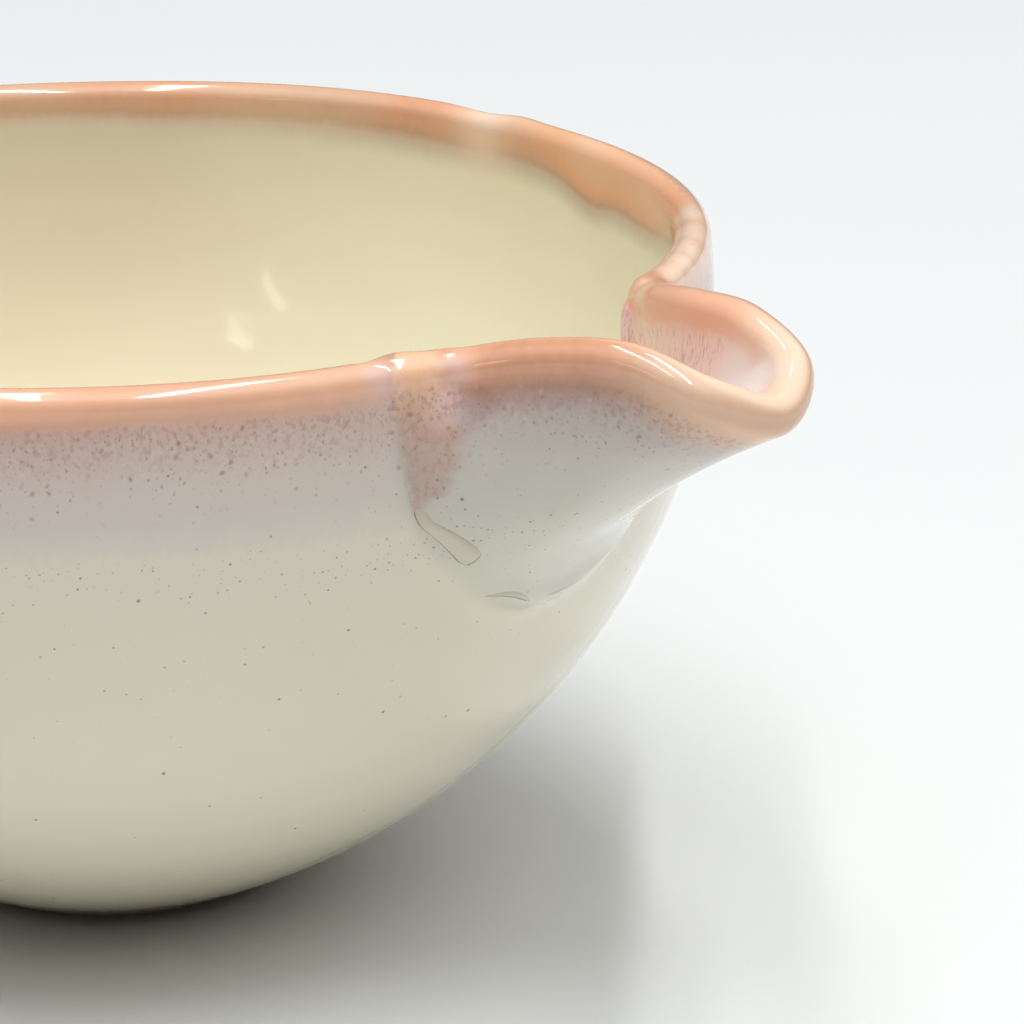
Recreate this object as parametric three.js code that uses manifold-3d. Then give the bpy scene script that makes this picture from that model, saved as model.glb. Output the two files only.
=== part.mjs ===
// A spouted tea bowl: a thrown wall on a low turned foot, an open trough spout luted over a notch in
// the rim, and the glaze coats that cover them. Millimetres, +Z up, +X along the spout.
import * as THREE from "three";
import Module from "manifold-3d";
import { mergeVertices } from "three/addons/utils/BufferGeometryUtils.js";

// ---- driving dimensions -------------------------------------------------------------------------
const RIM_R = 62; // radius of the circle through the middle of the lip
const RIM_Z = 70.4; // height of that circle above the table
const LIP_HALF = 1.92; // half the glazed thickness of the lip
const GLAZE = 0.6; // thickness of a glaze coat
const GAP = 0.3; // clearance between one body and the next
const SEGMENTS = 44; // facets round the bowl
const RIM_COAT_OUT = -6.8; // lower edge of the rim coat outside, below the lip circle
const RIM_COAT_IN = -3.8; // lower edge of the rim coat inside
const FLOOR_Z = 6.2; // glazed floor of the bowl above the table
const FOOT_R = 17.7; // outer radius of the foot ring
const FOOT_INNER_R = 13.0; // inner radius of the foot ring
const FOOT_TOP = 2.4; // height of the foot piece
const RECESS = 1.2; // depth of the recess under the base
const SPOUT_LIP_HALF = 2.15; // half the glazed thickness of the spout at its lip
const SPOUT_ROOT_HALF = 2.55; // half the glazed thickness of the spout at the wall
const COIL_R = 2.3; // radius of the clay coil in the seam
const KEEL_POWER = 1.106; // how fast the spout's sides turn into its keel
const KEEL_LIP = [-0.141, -0.069]; // the keel's run from the tip, out and up, in rim radii
const KEEL_ROOT = [0.02, 0.112]; // and its run into the wall
const NOTCH_LIFT = 7; // height of the notch's sill over the keel's lower end

// Glazed outside of the wall: [height from the lip circle, radius], as shares of RIM_R.
const OUTSIDE = [
  [0, 1.031],
  [-0.06, 1.034],
  [-0.2, 1.032],
  [-0.35, 1.003],
  [-0.5, 0.948],
  [-0.65, 0.8652],
  [-0.8, 0.749],
  [-0.92, 0.6235],
  [-1.02, 0.4866],
  [-1.119, 0.3],
];
// Glazed thickness of the wall at those heights, in millimetres.
const THICKNESS = [3.84, 3.95, 4.3, 4.6, 4.9, 5.2, 5.5, 5.8, 6.0, 6.1];

// The spout's edge from where it leaves the rim to the tip: [along +X, sideways, up], shares of RIM_R.
const CREST = [
  [0.954, 0.299, 0.0],
  [1.06, 0.225, 0.022],
  [1.16, 0.178, 0.042],
  [1.285, 0.14, 0.05],
  [1.4, 0.1, 0.012],
  [1.445, 0.0, -0.026],
];
// The middle of the spout's thickness where it meets the wall: [degrees from +X, height from the lip circle].
const ROOT = [
  [16.6, -0.02],
  [16.2, -0.09],
  [15.2, -0.16],
  [13.2, -0.232],
  [10.4, -0.287],
  [7.0, -0.337],
  [3.6, -0.37],
  [0.0, -0.385],
];

// ---- solids ---------------------------------------------------------------------------------------
const wasm = await Module();
wasm.setup();

// A closed geometry as a solid, with its faces turned outwards.
function solid(geometry) {
  const g = geometry.clone();
  g.deleteAttribute("normal");
  g.deleteAttribute("uv");
  const merged = mergeVertices(g, 1e-4);
  const index = [];
  for (let i = 0; i < merged.index.count; i += 3) {
    const [a, b, c] = [0, 1, 2].map((k) => merged.index.getX(i + k));
    if (a !== b && b !== c && a !== c) index.push(a, b, c);
  }
  const build = (tris) =>
    new wasm.Manifold(
      new wasm.Mesh({
        numProp: 3,
        vertProperties: new Float32Array(merged.attributes.position.array),
        triVerts: new Uint32Array(tris),
      }),
    );
  const made = build(index);
  if (made.volume() > 0) return made;
  const turned = [];
  for (let i = 0; i < index.length; i += 3)
    turned.push(index[i], index[i + 2], index[i + 1]);
  return build(turned);
}

// The largest body of a solid, without the crumbs that a cut can leave.
function largest(s) {
  return s
    .decompose()
    .reduce((best, b) => (b.volume() > best.volume() ? b : best));
}

function turned(profile) {
  const g = new THREE.LatheGeometry(
    profile.map(([r, z]) => new THREE.Vector2(r, z)),
    SEGMENTS,
  );
  return solid(g.rotateX(Math.PI / 2));
}

// Closed loops of points joined one to the next, with a fan over each end.
function lofted(loops) {
  const n = loops[0].length,
    position = [],
    index = [];
  loops.flat().forEach((p) => position.push(p.x, p.y, p.z));
  for (let i = 0; i + 1 < loops.length; i++)
    for (let j = 0; j < n; j++) {
      const a = i * n + j,
        b = i * n + ((j + 1) % n);
      index.push(a, b, a + n, b, b + n, a + n);
    }
  for (const [loop, first] of [
    [0, true],
    [loops.length - 1, false],
  ]) {
    const c = loops[loop]
      .reduce((sum, p) => sum.add(p), new THREE.Vector3())
      .divideScalar(n);
    const m = position.length / 3;
    position.push(c.x, c.y, c.z);
    for (let j = 0; j < n; j++) {
      const a = loop * n + j,
        b = loop * n + ((j + 1) % n);
      index.push(...(first ? [m, b, a] : [m, a, b]));
    }
  }
  const g = new THREE.BufferGeometry();
  g.setAttribute("position", new THREE.Float32BufferAttribute(position, 3));
  g.setIndex(index);
  return solid(g);
}

// ---- the wall's section -----------------------------------------------------------------------------
const outside = OUTSIDE.map(([z, r]) => [r * RIM_R, RIM_Z + z * RIM_R]);
function normals(line) {
  return line.map((_, i) => {
    const a = line[Math.max(i - 1, 0)],
      b = line[Math.min(i + 1, line.length - 1)];
    const dr = b[0] - a[0],
      dz = b[1] - a[1],
      l = Math.hypot(dr, dz);
    return [-dz / l, dr / l]; // points away from the clay on a line that runs down the outside
  });
}
const outNormals = normals(outside).map(([r, z], i) => (i === 0 ? [1, 0] : [r, z]));
const offset = (line, n, d) => line.map(([r, z], i) => [r + n[i][0] * d, z + n[i][1] * d]);
// Inside of the wall, from the lip down to the middle of the floor.
const inside = outside
  .map(([r, z], i) => [r - outNormals[i][0] * THICKNESS[i], z - outNormals[i][1] * THICKNESS[i]])
  .slice(0, -1)
  .concat([
    [13, FLOOR_Z + 0.9],
    [0, FLOOR_Z],
  ]);
const inNormals = normals(inside).map(([r, z], i, all) =>
  i === 0 ? [-1, 0] : i === all.length - 1 ? [0, 1] : [-r, -z],
);
function lip(half, steps) {
  return Array.from({ length: steps + 1 }, (_, i) => {
    const a = Math.PI * (1 - i / steps);
    return [RIM_R + half * Math.cos(a), RIM_Z + half * Math.sin(a)];
  });
}
// Section at a depth below the glazed surface: floor, inside, lip, outside.
const insideAt = (d) => offset(inside, inNormals, -d);
const outsideAt = (d) => offset(outside, outNormals, -d);
const lipAt = (d) => lip(LIP_HALF - d, 4);
// The point of a line at a height, and the part of the line below it.
function below(line, z) {
  const i = line.findIndex((p) => p[1] < z);
  const a = line[i - 1],
    b = line[i],
    t = (z - a[1]) / (b[1] - a[1]);
  return [[a[0] + t * (b[0] - a[0]), z], ...line.slice(i)];
}
function above(line, z) {
  const i = line.findIndex((p) => p[1] < z);
  return [...line.slice(0, i), below(line, z)[0]];
}
const outerRadius = (z) => {
  const i = Math.max(
    1,
    outside.findIndex((p) => p[1] <= z),
  );
  const a = outside[i - 1],
    b = outside[i];
  return a[0] + ((z - a[1]) / (b[1] - a[1])) * (b[0] - a[0]);
};

// Everything inside the outer surface at a depth, as one full body.
function core(d) {
  const o = outsideAt(d);
  return turned([
    [0, RIM_Z + LIP_HALF - d],
    ...lipAt(d).slice(2),
    ...o.slice(1),
    [o.at(-1)[0], -2],
    [0, -2],
  ]);
}

// ---- the spout's middle surface ---------------------------------------------------------------------
const crest = new THREE.CatmullRomCurve3(
  [...CREST, ...CREST.slice(0, -1).reverse().map(([x, y, z]) => [x, -y, z])].map(
    ([x, y, z]) => new THREE.Vector3(x * RIM_R, -y * RIM_R, RIM_Z + z * RIM_R),
  ),
  false,
  "centripetal",
);
const rootPoint = ([deg, z]) => {
  const h = RIM_Z + z * RIM_R,
    r = outerRadius(h),
    a = (deg * Math.PI) / 180;
  return new THREE.Vector3(r * Math.cos(a), -r * Math.sin(a), h);
};
const root = new THREE.CatmullRomCurve3(
  [...ROOT, ...ROOT.slice(0, -1).reverse().map(([d, z]) => [-d, z])].map(rootPoint),
  false,
  "centripetal",
);
// The directions in which the spout's middle leaves the lip and reaches the wall, at a station s that
// runs from the near edge (-1) over the tip (0) to the far edge (1).
function station(s) {
  const u = (s + 1) / 2,
    c = crest.getPoint(u),
    m = root.getPoint(u);
  const aside = (Math.hypot(s, 0.12) - 0.12) / (Math.hypot(1, 0.12) - 0.12),
    keel = Math.pow(1 - aside, KEEL_POWER);
  const wall = new THREE.Vector3(m.x, m.y, 0).normalize();
  const l = c.distanceTo(m);
  const d1 = new THREE.Vector3(0, 0, -0.34 * l)
    .addScaledVector(wall, 0.1 * l)
    .lerp(new THREE.Vector3(KEEL_LIP[0] * RIM_R, 0, KEEL_LIP[1] * RIM_R), keel);
  const d2 = wall
    .clone()
    .multiplyScalar(0.3 * l)
    .lerp(new THREE.Vector3(KEEL_ROOT[0] * RIM_R, 0, KEEL_ROOT[1] * RIM_R), keel);
  return { c, m, d1, d2, wall, along: crest.getTangent(u), down: root.getTangent(u) };
}
// The middle of the spout's thickness: t runs from the lip (0) to the wall (1) and on into it.
// Past either end it goes on a little along the edge's own direction.
function middle(s, t) {
  const end = THREE.MathUtils.clamp(s, -1, 1),
    { c, m, d1, d2, wall, along } = station(end);
  const p =
    t > 1
      ? m.clone().addScaledVector(wall, -(t - 1) * 10)
      : new THREE.CubicBezierCurve3(c, c.clone().add(d1), m.clone().add(d2), m).getPoint(t);
  return p.addScaledVector(along, (s - end) * 20);
}
// The direction through the spout's thickness, away from the channel.
function across(s, t) {
  const { d1, d2, along, down } = station(THREE.MathUtils.clamp(s, -1, 1));
  const lip = d1.clone().cross(along).normalize(),
    foot = d2.clone().negate().cross(down).normalize();
  return lip.lerp(foot, Math.min(t, 1)).normalize();
}
const half = (t) => THREE.MathUtils.lerp(SPOUT_LIP_HALF, SPOUT_ROOT_HALF, Math.min(t, 1));
const S_STEPS = 20,
  T_ROWS = [0.14, 0.4, 0.7, 1.0, 1.55];
// One loop of the spout's section at a depth below its glazed surface: up the outside, over the lip, down the inside.
function sheetLine(s, d) {
  const outer = [],
    inner = [];
  for (const t of T_ROWS) {
    const p = middle(s, t),
      n = across(s, Math.min(t, 1));
    outer.push(p.clone().addScaledVector(n, half(t) - d));
    inner.push(p.clone().addScaledVector(n, -(half(t) - d)));
  }
  const c = middle(s, 0),
    n = across(s, 0),
    up = station(THREE.MathUtils.clamp(s, -1, 1)).d1.negate().normalize(),
    edge = [];
  for (let k = 0; k <= 4; k++) {
    const a = (Math.PI * k) / 4;
    edge.push(
      c
        .clone()
        .addScaledVector(n, Math.cos(a) * (SPOUT_LIP_HALF - d))
        .addScaledVector(up, Math.sin(a) * (SPOUT_LIP_HALF - d)),
    );
  }
  return [...outer.reverse(), ...edge, ...inner];
}
const stations = Array.from({ length: S_STEPS + 1 }, (_, i) => -1 + (2 * i) / S_STEPS);
const sheet = (d, past) =>
  lofted([-1 - past, ...stations, 1 + past].map((s) => sheetLine(s, d)));

// The notch that is cut through the wall: the outline of the spout's middle where it meets the wall.
function notch(grow) {
  const outline = stations.map((s) => {
    const p = middle(s, 1),
      n = across(s, 1);
    const lift = NOTCH_LIFT * (1 - THREE.MathUtils.smoothstep(Math.abs(s), 0, 0.62));
    return new THREE.Vector2(p.y - n.y * (1.6 - grow), p.z + lift - n.z * (1.6 - grow));
  });
  const shape = new THREE.Shape([
    new THREE.Vector2(outline[0].x, RIM_Z + 12),
    ...outline,
    new THREE.Vector2(outline.at(-1).x, RIM_Z + 12),
  ]);
  const g = new THREE.ExtrudeGeometry(shape, { depth: 0.4 * RIM_R, bevelEnabled: false });
  // The outline's x is the part's y, its y is the part's z, and the depth runs along +X.
  g.applyMatrix4(new THREE.Matrix4().set(0, 0, 1, 0.75 * RIM_R, 1, 0, 0, 0, 0, 1, 0, 0, 0, 0, 0, 1));
  return solid(g);
}

// A round tube along points, with a radius at each.
function tube(points, radii, sides) {
  const curve = new THREE.CatmullRomCurve3(points, false, "centripetal");
  return lofted(
    points.map((_, i) => {
      const u = i / (points.length - 1);
      const p = points[i];
      const t = curve.getTangent(u);
      const a = new THREE.Vector3(p.x, p.y, 0).normalize();
      a.addScaledVector(t, -a.dot(t)).normalize();
      const b = t.clone().cross(a);
      return Array.from({ length: sides }, (_, k) => {
        const w = (2 * Math.PI * k) / sides;
        return p
          .clone()
          .addScaledVector(a, radii[i] * Math.cos(w))
          .addScaledVector(b, radii[i] * Math.sin(w));
      });
    }),
  );
}
// The corner between the spout's outside and the wall, moved out along the middle of the corner.
function corner(s, out) {
  const m = middle(s, 1),
    n = across(s, 1);
  const p = m.clone().addScaledVector(n, half(1));
  const r = outerRadius(p.z),
    a = Math.atan2(p.y, p.x);
  const wall = new THREE.Vector3(Math.cos(a), Math.sin(a), 0);
  return new THREE.Vector3(r * Math.cos(a), r * Math.sin(a), p.z)
    .addScaledVector(wall, out)
    .addScaledVector(n, out);
}

// ---- the pieces -------------------------------------------------------------------------------------
const CLAY = GLAZE + GAP; // depth of the clay below the glazed surface
const clayOut = outsideAt(CLAY),
  clayIn = insideAt(CLAY);
const baseZ = FOOT_TOP + GAP;
const clayWall = turned([
  ...clayIn.slice().reverse(),
  ...lipAt(CLAY).slice(1, -1),
  ...above(clayOut, baseZ),
  [0, baseZ],
]);
const spoutCut = sheet(-GAP, 0.06);
const bowlWall = largest(clayWall.subtract(notch(0)));

const foot = turned([
  [0, RECESS],
  [FOOT_INNER_R - 1.2, RECESS],
  [FOOT_INNER_R - 0.5, RECESS - 0.4],
  [FOOT_INNER_R, 0.5],
  [FOOT_INNER_R + 0.6, 0],
  [FOOT_R - 0.7, 0],
  [FOOT_R, 0.6],
  [FOOT_R, FOOT_TOP],
  [0, FOOT_TOP],
]);

const clayCore = core(GLAZE);
const spout = largest(sheet(CLAY, 0.02).subtract(clayCore));
const spoutGlaze = largest(sheet(0, 0.02).subtract(sheet(GLAZE, 0.04)).subtract(core(0.4 * GLAZE)));

function ringOf(outer, inner) {
  return turned([...outer, ...inner.slice().reverse(), outer[0]]);
}
const openings = spoutCut.add(notch(1.4));
const outerGlaze = largest(
  ringOf(
    below(outsideAt(0), RIM_Z + RIM_COAT_OUT - GAP),
    below(outsideAt(GLAZE), RIM_Z + RIM_COAT_OUT - GAP),
  ).subtract(openings),
);
const linerTop = RIM_Z + RIM_COAT_IN - GAP;
const linerOut = below(insideAt(0), linerTop),
  linerBack = below(insideAt(GLAZE), linerTop);
const linerGlaze = largest(turned([...linerBack.slice().reverse(), ...linerOut]).subtract(notch(1.4)));
const rimLine = (d) => [
  ...above(insideAt(d), RIM_Z + RIM_COAT_IN).slice(1).reverse(),
  ...lipAt(d),
  ...above(outsideAt(d), RIM_Z + RIM_COAT_OUT).slice(1),
];
// A body with room left round another on every side.
const clearOf = (body, other) =>
  [
    [GAP, 0, 0],
    [0, GAP, 0],
    [0, -GAP, 0],
    [0, 0, GAP],
    [0, 0, -GAP],
  ].reduce((rest, shift) => rest.subtract(other.translate(shift)), body);
const rimGlaze = largest(
  clearOf(ringOf(rimLine(0), rimLine(GLAZE)).subtract(openings), spout.add(spoutGlaze)),
);

const coilStations = Array.from({ length: 25 }, (_, i) => -0.9 + (1.8 * i) / 24);
const coilTube = (grow) =>
  tube(
    coilStations.map((s) => corner(s, 0.7)),
    coilStations.map(() => COIL_R + grow),
    10,
  );
const glazedCore = core(-GAP);
const seamCoil = largest(coilTube(0).subtract(glazedCore).subtract(spoutCut));

const runStations = [-0.82, -0.76, -0.7, -0.64, -0.58, -0.52, -0.46, -0.42];
const run = tube(
  runStations.map((s) => corner(s, 2.0)),
  [0.5, 0.8, 1.0, 1.15, 1.3, 1.5, 1.45, 0.9],
  8,
);
const glazeRun = largest(
  run.subtract(coilTube(GAP)).subtract(glazedCore).subtract(spoutCut),
);

// ---- the assembly -----------------------------------------------------------------------------------
const bowl = new THREE.Group();
function piece(name, body, color, roughness) {
  const m = body.getMesh();
  const g = new THREE.BufferGeometry();
  g.setAttribute("position", new THREE.Float32BufferAttribute(m.vertProperties, 3));
  g.setIndex(new THREE.Uint32BufferAttribute(m.triVerts, 1));
  g.computeVertexNormals();
  const mesh = new THREE.Mesh(
    g,
    new THREE.MeshStandardMaterial({ color, roughness, metalness: 0 }),
  );
  mesh.name = name;
  bowl.add(mesh);
}
piece("bowl_wall", bowlWall, 0xd9cdb8, 0.8);
piece("foot", foot, 0xd2c3aa, 0.85);
piece("spout", spout, 0xd9cdb8, 0.8);
piece("seam_coil", seamCoil, 0xcdc6b4, 0.3);
piece("outer_glaze", outerGlaze, 0xcbc4b4, 0.25);
piece("liner_glaze", linerGlaze, 0xe0d3ac, 0.22);
piece("rim_glaze", rimGlaze, 0xe6a982, 0.2);
piece("spout_glaze", spoutGlaze, 0xe8b39a, 0.2);
piece("glaze_run", glazeRun, 0xb3a996, 0.15);

// The part's origin is under the middle of its length, on the table.
const box = new THREE.Box3().setFromObject(bowl);
bowl.position.x = -(box.min.x + box.max.x) / 2;

export default bowl;
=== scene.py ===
import math

import bpy
import numpy as np
from mathutils import Matrix, Vector
from mathutils.bvhtree import BVHTree
from mathutils.kdtree import KDTree


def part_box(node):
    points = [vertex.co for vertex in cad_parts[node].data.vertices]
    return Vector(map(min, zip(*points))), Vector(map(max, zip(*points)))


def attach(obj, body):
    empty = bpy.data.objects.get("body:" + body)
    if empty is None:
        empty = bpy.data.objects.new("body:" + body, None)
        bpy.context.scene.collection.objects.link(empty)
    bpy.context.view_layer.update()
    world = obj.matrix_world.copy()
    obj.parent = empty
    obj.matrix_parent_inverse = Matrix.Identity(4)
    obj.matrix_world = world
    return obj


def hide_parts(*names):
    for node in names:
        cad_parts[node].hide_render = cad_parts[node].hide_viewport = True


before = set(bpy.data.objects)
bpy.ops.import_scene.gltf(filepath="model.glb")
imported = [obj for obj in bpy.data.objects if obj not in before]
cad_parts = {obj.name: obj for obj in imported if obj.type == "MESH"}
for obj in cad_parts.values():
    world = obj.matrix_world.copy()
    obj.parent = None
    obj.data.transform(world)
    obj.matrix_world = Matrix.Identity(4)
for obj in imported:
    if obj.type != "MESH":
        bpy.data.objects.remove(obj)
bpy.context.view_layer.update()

# ---- numbers shared with the CAD, in millimetres from the bowl's own axis ---------------------------
R = 62.0  # circle through the middle of the lip
RIM_Z = 70.4  # height of that circle
LIP_HALF = 1.92
FLOOR_Z = 6.2
foot_low, foot_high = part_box("foot")
AXIS_X = 500.0 * (foot_low.x + foot_high.x)  # the bowl's axis in the row frame
COAT = 0.6  # thickness of a glaze coat
CREST = [
    [0.954, 0.299, 0.0],
    [1.06, 0.225, 0.022],
    [1.16, 0.178, 0.042],
    [1.285, 0.14, 0.05],
    [1.4, 0.1, 0.012],
    [1.445, 0.0, -0.026],
]
ROOT = [
    [16.6, -0.02],
    [16.2, -0.09],
    [15.2, -0.16],
    [13.2, -0.232],
    [10.4, -0.287],
    [7.0, -0.337],
    [3.6, -0.37],
    [0.0, -0.385],
]
STEP = 0.95  # cell of the grid that the surface is taken from


# ---- small maths ----------------------------------------------------------------------------------
def smooth(a, b, x):
    t = np.clip((x - a) / (b - a), 0.0, 1.0)
    return t * t * (3 - 2 * t)


def smin(a, b, k):
    h = np.maximum(k - np.abs(a - b), 0.0) / k
    return np.minimum(a, b) - h * h * h * k / 6.0


def unit(v):
    return v / np.maximum(np.linalg.norm(v, axis=-1, keepdims=True), 1e-12)


def catmull(points, u):
    """Centripetal Catmull-Rom through points, and its tangent, at u from 0 to 1."""
    p = np.asarray(points, float)
    p = np.vstack([2 * p[0] - p[1], p, 2 * p[-1] - p[-2]])
    n = len(p) - 3
    x = np.clip(np.asarray(u, float), 0, 1) * n
    i = np.minimum(x.astype(int), n - 1)
    w = (x - i)[:, None]
    d = np.sqrt(np.linalg.norm(np.diff(p, axis=0), axis=1))[:, None]
    p0, p1, p2, p3 = p[i], p[i + 1], p[i + 2], p[i + 3]
    d0, d1, d2 = d[i], d[i + 1], d[i + 2]
    t1 = ((p1 - p0) / d0 - (p2 - p0) / (d0 + d1) + (p2 - p1) / d1) * d1
    t2 = ((p2 - p1) / d1 - (p3 - p1) / (d1 + d2) + (p3 - p2) / d2) * d1
    c2 = -3 * p1 + 3 * p2 - 2 * t1 - t2
    c3 = 2 * p1 - 2 * p2 + t1 + t2
    return p1 + w * (t1 + w * (c2 + w * c3)), unit(t1 + w * (2 * c2 + 3 * w * c3))


class Table:
    """A smooth lookup over a plane, filled with the signed distance to a line."""

    def __init__(self, low, high, step, line, sign):
        self.low, self.step = np.array(low, float), step
        n = np.ceil((np.array(high) - self.low) / step).astype(int) + 1
        u = self.low[0] + step * np.arange(n[0])
        v = self.low[1] + step * np.arange(n[1])
        grid = np.stack(np.meshgrid(u, v, indexing="ij"), -1).reshape(-1, 2)
        tree = KDTree(len(line))
        for i, (a, b) in enumerate(line):
            tree.insert((a, b, 0.0), i)
        tree.balance()
        near = np.array([tree.find((a, b, 0.0))[1] for a, b in grid])
        best = np.full(len(grid), 1e9)
        for shift in (-1, 0):
            i = np.clip(near + shift, 0, len(line) - 2)
            a, b = line[i], line[i + 1]
            t = np.clip(((grid - a) * (b - a)).sum(1) / np.maximum(((b - a) ** 2).sum(1), 1e-12), 0, 1)
            best = np.minimum(best, np.linalg.norm(a + t[:, None] * (b - a) - grid, axis=1))
        self.values = (best * sign(grid)).reshape(n)

    def __call__(self, u, v):
        n = self.values.shape
        a = np.clip((u - self.low[0]) / self.step, 1, n[0] - 2.001)
        b = np.clip((v - self.low[1]) / self.step, 1, n[1] - 2.001)
        i, j = a.astype(int), b.astype(int)

        def weights(t):
            return (
                0.5 * (-t + 2 * t * t - t**3),
                0.5 * (2 - 5 * t * t + 3 * t**3),
                0.5 * (t + 4 * t * t - 3 * t**3),
                0.5 * (-t * t + t**3),
            )

        wa, wb = weights(a - i), weights(b - j)
        total = np.zeros(np.shape(u))
        for p in range(4):
            for q in range(4):
                total += wa[p] * wb[q] * self.values[i + p - 1, j + q - 1]
        return total


def inside_polygon(points, polygon):
    x, y = points[:, 0], points[:, 1]
    odd = np.zeros(len(points), bool)
    for (x0, y0), (x1, y1) in zip(polygon, np.roll(polygon, -1, axis=0)):
        if y0 == y1:
            continue
        odd ^= ((y0 > y) != (y1 > y)) & (x < (x1 - x0) * (y - y0) / (y1 - y0) + x0)
    return odd


# ---- the wall's section -----------------------------------------------------------------------------
def outer_r(z):
    """Radius of the glazed outside at a height z from the lip circle."""
    a = np.abs(z) / R
    return R * (
        1.051 * np.power(np.clip(1 - (a / 1.192) ** 2.147, 0, 1), 1 / 1.632)
        - 0.020 * np.exp(-((a / 0.145) ** 1.3))
    )


def wall_section():
    z = -R * np.linspace(0, 1.119, 420)
    out = np.stack([outer_r(z), RIM_Z + z], 1)
    d = np.gradient(out, axis=0)
    n = unit(np.stack([-d[:, 1], d[:, 0]], 1))
    thick = np.interp(
        -z / R,
        [0, 0.06, 0.2, 0.35, 0.5, 0.65, 0.8, 0.92, 1.02, 1.119],
        [3.84, 3.95, 4.3, 4.6, 4.9, 5.2, 5.5, 5.8, 6.0, 6.1],
    )
    thick = np.convolve(np.pad(thick, 20, mode="edge"), np.ones(41) / 41, "valid")
    n[0] = (1, 0)
    inner = out - n * thick[:, None]
    keep = -z / R <= 0.92
    inner, tangent = inner[keep], np.gradient(inner[keep], axis=0)
    p0, t0 = inner[-1], tangent[-1] / np.linalg.norm(tangent[-1])
    s = np.linspace(0, 1, 160)[1:, None]
    p1, p2, p3 = p0 + 12 * t0, np.array([14.0, FLOOR_Z]), np.array([0.0, FLOOR_Z])
    floor = (1 - s) ** 3 * p0 + 3 * s * (1 - s) ** 2 * p1 + 3 * s * s * (1 - s) * p2 + s**3 * p3
    a = np.linspace(0, math.pi, 60)[1:-1]
    top = 0.5 * (out[0, 0] + inner[0, 0])
    half = 0.5 * (out[0, 0] - inner[0, 0])
    lip = np.stack([top + half * np.cos(a), RIM_Z + half * np.sin(a)], 1)
    base = np.stack([np.linspace(0, 17.8, 120), np.full(120, 0.7)], 1)
    return np.vstack([base, out[::-1], lip, inner, floor])


section = wall_section()
wall_table = Table(
    (-1.5, -3.0), (72.0, 80.0), 0.25, section,
    lambda g: np.where(inside_polygon(np.abs(g) * [1, 0] + g * [0, 1], section), -1.0, 1.0),
)


# ---- the spout's middle surface ---------------------------------------------------------------------
crest_points = np.array(CREST + [[x, -y, z] for x, y, z in CREST[-2::-1]]) * R
crest_points = crest_points * [1, -1, 1] + [0, 0, RIM_Z]
root_angles = np.radians([-d for d, _ in ROOT] + [d for d, _ in ROOT[-2::-1]])
root_heights = R * np.array([z for _, z in ROOT] + [z for _, z in ROOT[-2::-1]])
root_points = np.stack(
    [outer_r(root_heights) * np.cos(root_angles), outer_r(root_heights) * np.sin(root_angles), RIM_Z + root_heights], 1
)
S_COUNT, T_COUNT, T_IN = 260, 64, 8
s_line = np.linspace(-1, 1, S_COUNT)
crest_line, crest_along = catmull(crest_points, (s_line + 1) / 2)
root_line, root_along = catmull(root_points, (s_line + 1) / 2)
# At the rim the joint starts in the middle of the wall.
root_line = root_line - unit(root_line * [1, 1, 0]) * 1.9 * smooth(0.78, 1.0, np.abs(s_line))[:, None]


def sheet_points():
    c, m = crest_line, root_line
    aside = (np.hypot(s_line, 0.12) - 0.12) / (math.hypot(1, 0.12) - 0.12)
    keel = np.power(np.clip(1 - aside, 0, 1), 1.106)[:, None]
    wall = unit(m * [1, 1, 0])
    length = np.linalg.norm(c - m, axis=1)[:, None]
    d1 = np.array([0, 0, -0.34]) * length + 0.1 * length * wall
    d1 = d1 + (np.array([-0.141 * R, 0, -0.069 * R]) - d1) * keel
    d2 = 0.3 * length * wall
    d2 = d2 + (np.array([0.02 * R, 0, 0.112 * R]) - d2) * keel
    rows = []
    for t in np.linspace(0, 1, T_COUNT):
        rows.append((1 - t) ** 3 * c + 3 * t * (1 - t) ** 2 * (c + d1) + 3 * t * t * (1 - t) * (m + d2) + t**3 * m)
    for t in np.linspace(0, 1, T_IN + 1)[1:]:
        rows.append(m - wall * 0.3 * t)
    return np.array(rows)  # row, station, xyz


sheet_rows = sheet_points()
n_rows = len(sheet_rows)
sheet_index = np.arange(n_rows * S_COUNT).reshape(n_rows, S_COUNT)
sheet_quads = np.stack(
    [sheet_index[:-1, :-1], sheet_index[:-1, 1:], sheet_index[1:, 1:], sheet_index[1:, :-1]], -1
).reshape(-1, 4)
sheet_tree = BVHTree.FromPolygons(sheet_rows.reshape(-1, 3).tolist(), sheet_quads.tolist())
REACH = 11.0


def to_sheet(P):
    """Distance to the spout's middle surface, the nearest point on it and the side (positive = outside of the channel)."""
    dist = np.full(len(P), REACH)
    place = np.array(P, float)
    side = np.zeros(len(P))
    find = sheet_tree.find_nearest
    for i, p in enumerate(P.tolist()):
        loc, normal, _, d = find(p, REACH)
        if loc is not None:
            dist[i] = d
            place[i] = loc
            side[i] = (loc[0] - p[0]) * normal[0] + (loc[1] - p[1]) * normal[1] + (loc[2] - p[2]) * normal[2]
    return dist, place, side


def half_at(y, z):
    """Half of the spout's thickness at a place on its middle surface."""
    half = 2.15 + 0.4 * smooth(RIM_Z + 2, RIM_Z - 24, z) - 0.55 * smooth(RIM_Z - 12, RIM_Z - 21, z)
    return half - 0.23 * smooth(14.5, 18.5, np.abs(y)) * smooth(RIM_Z - 6, RIM_Z - 1, z)


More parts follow.
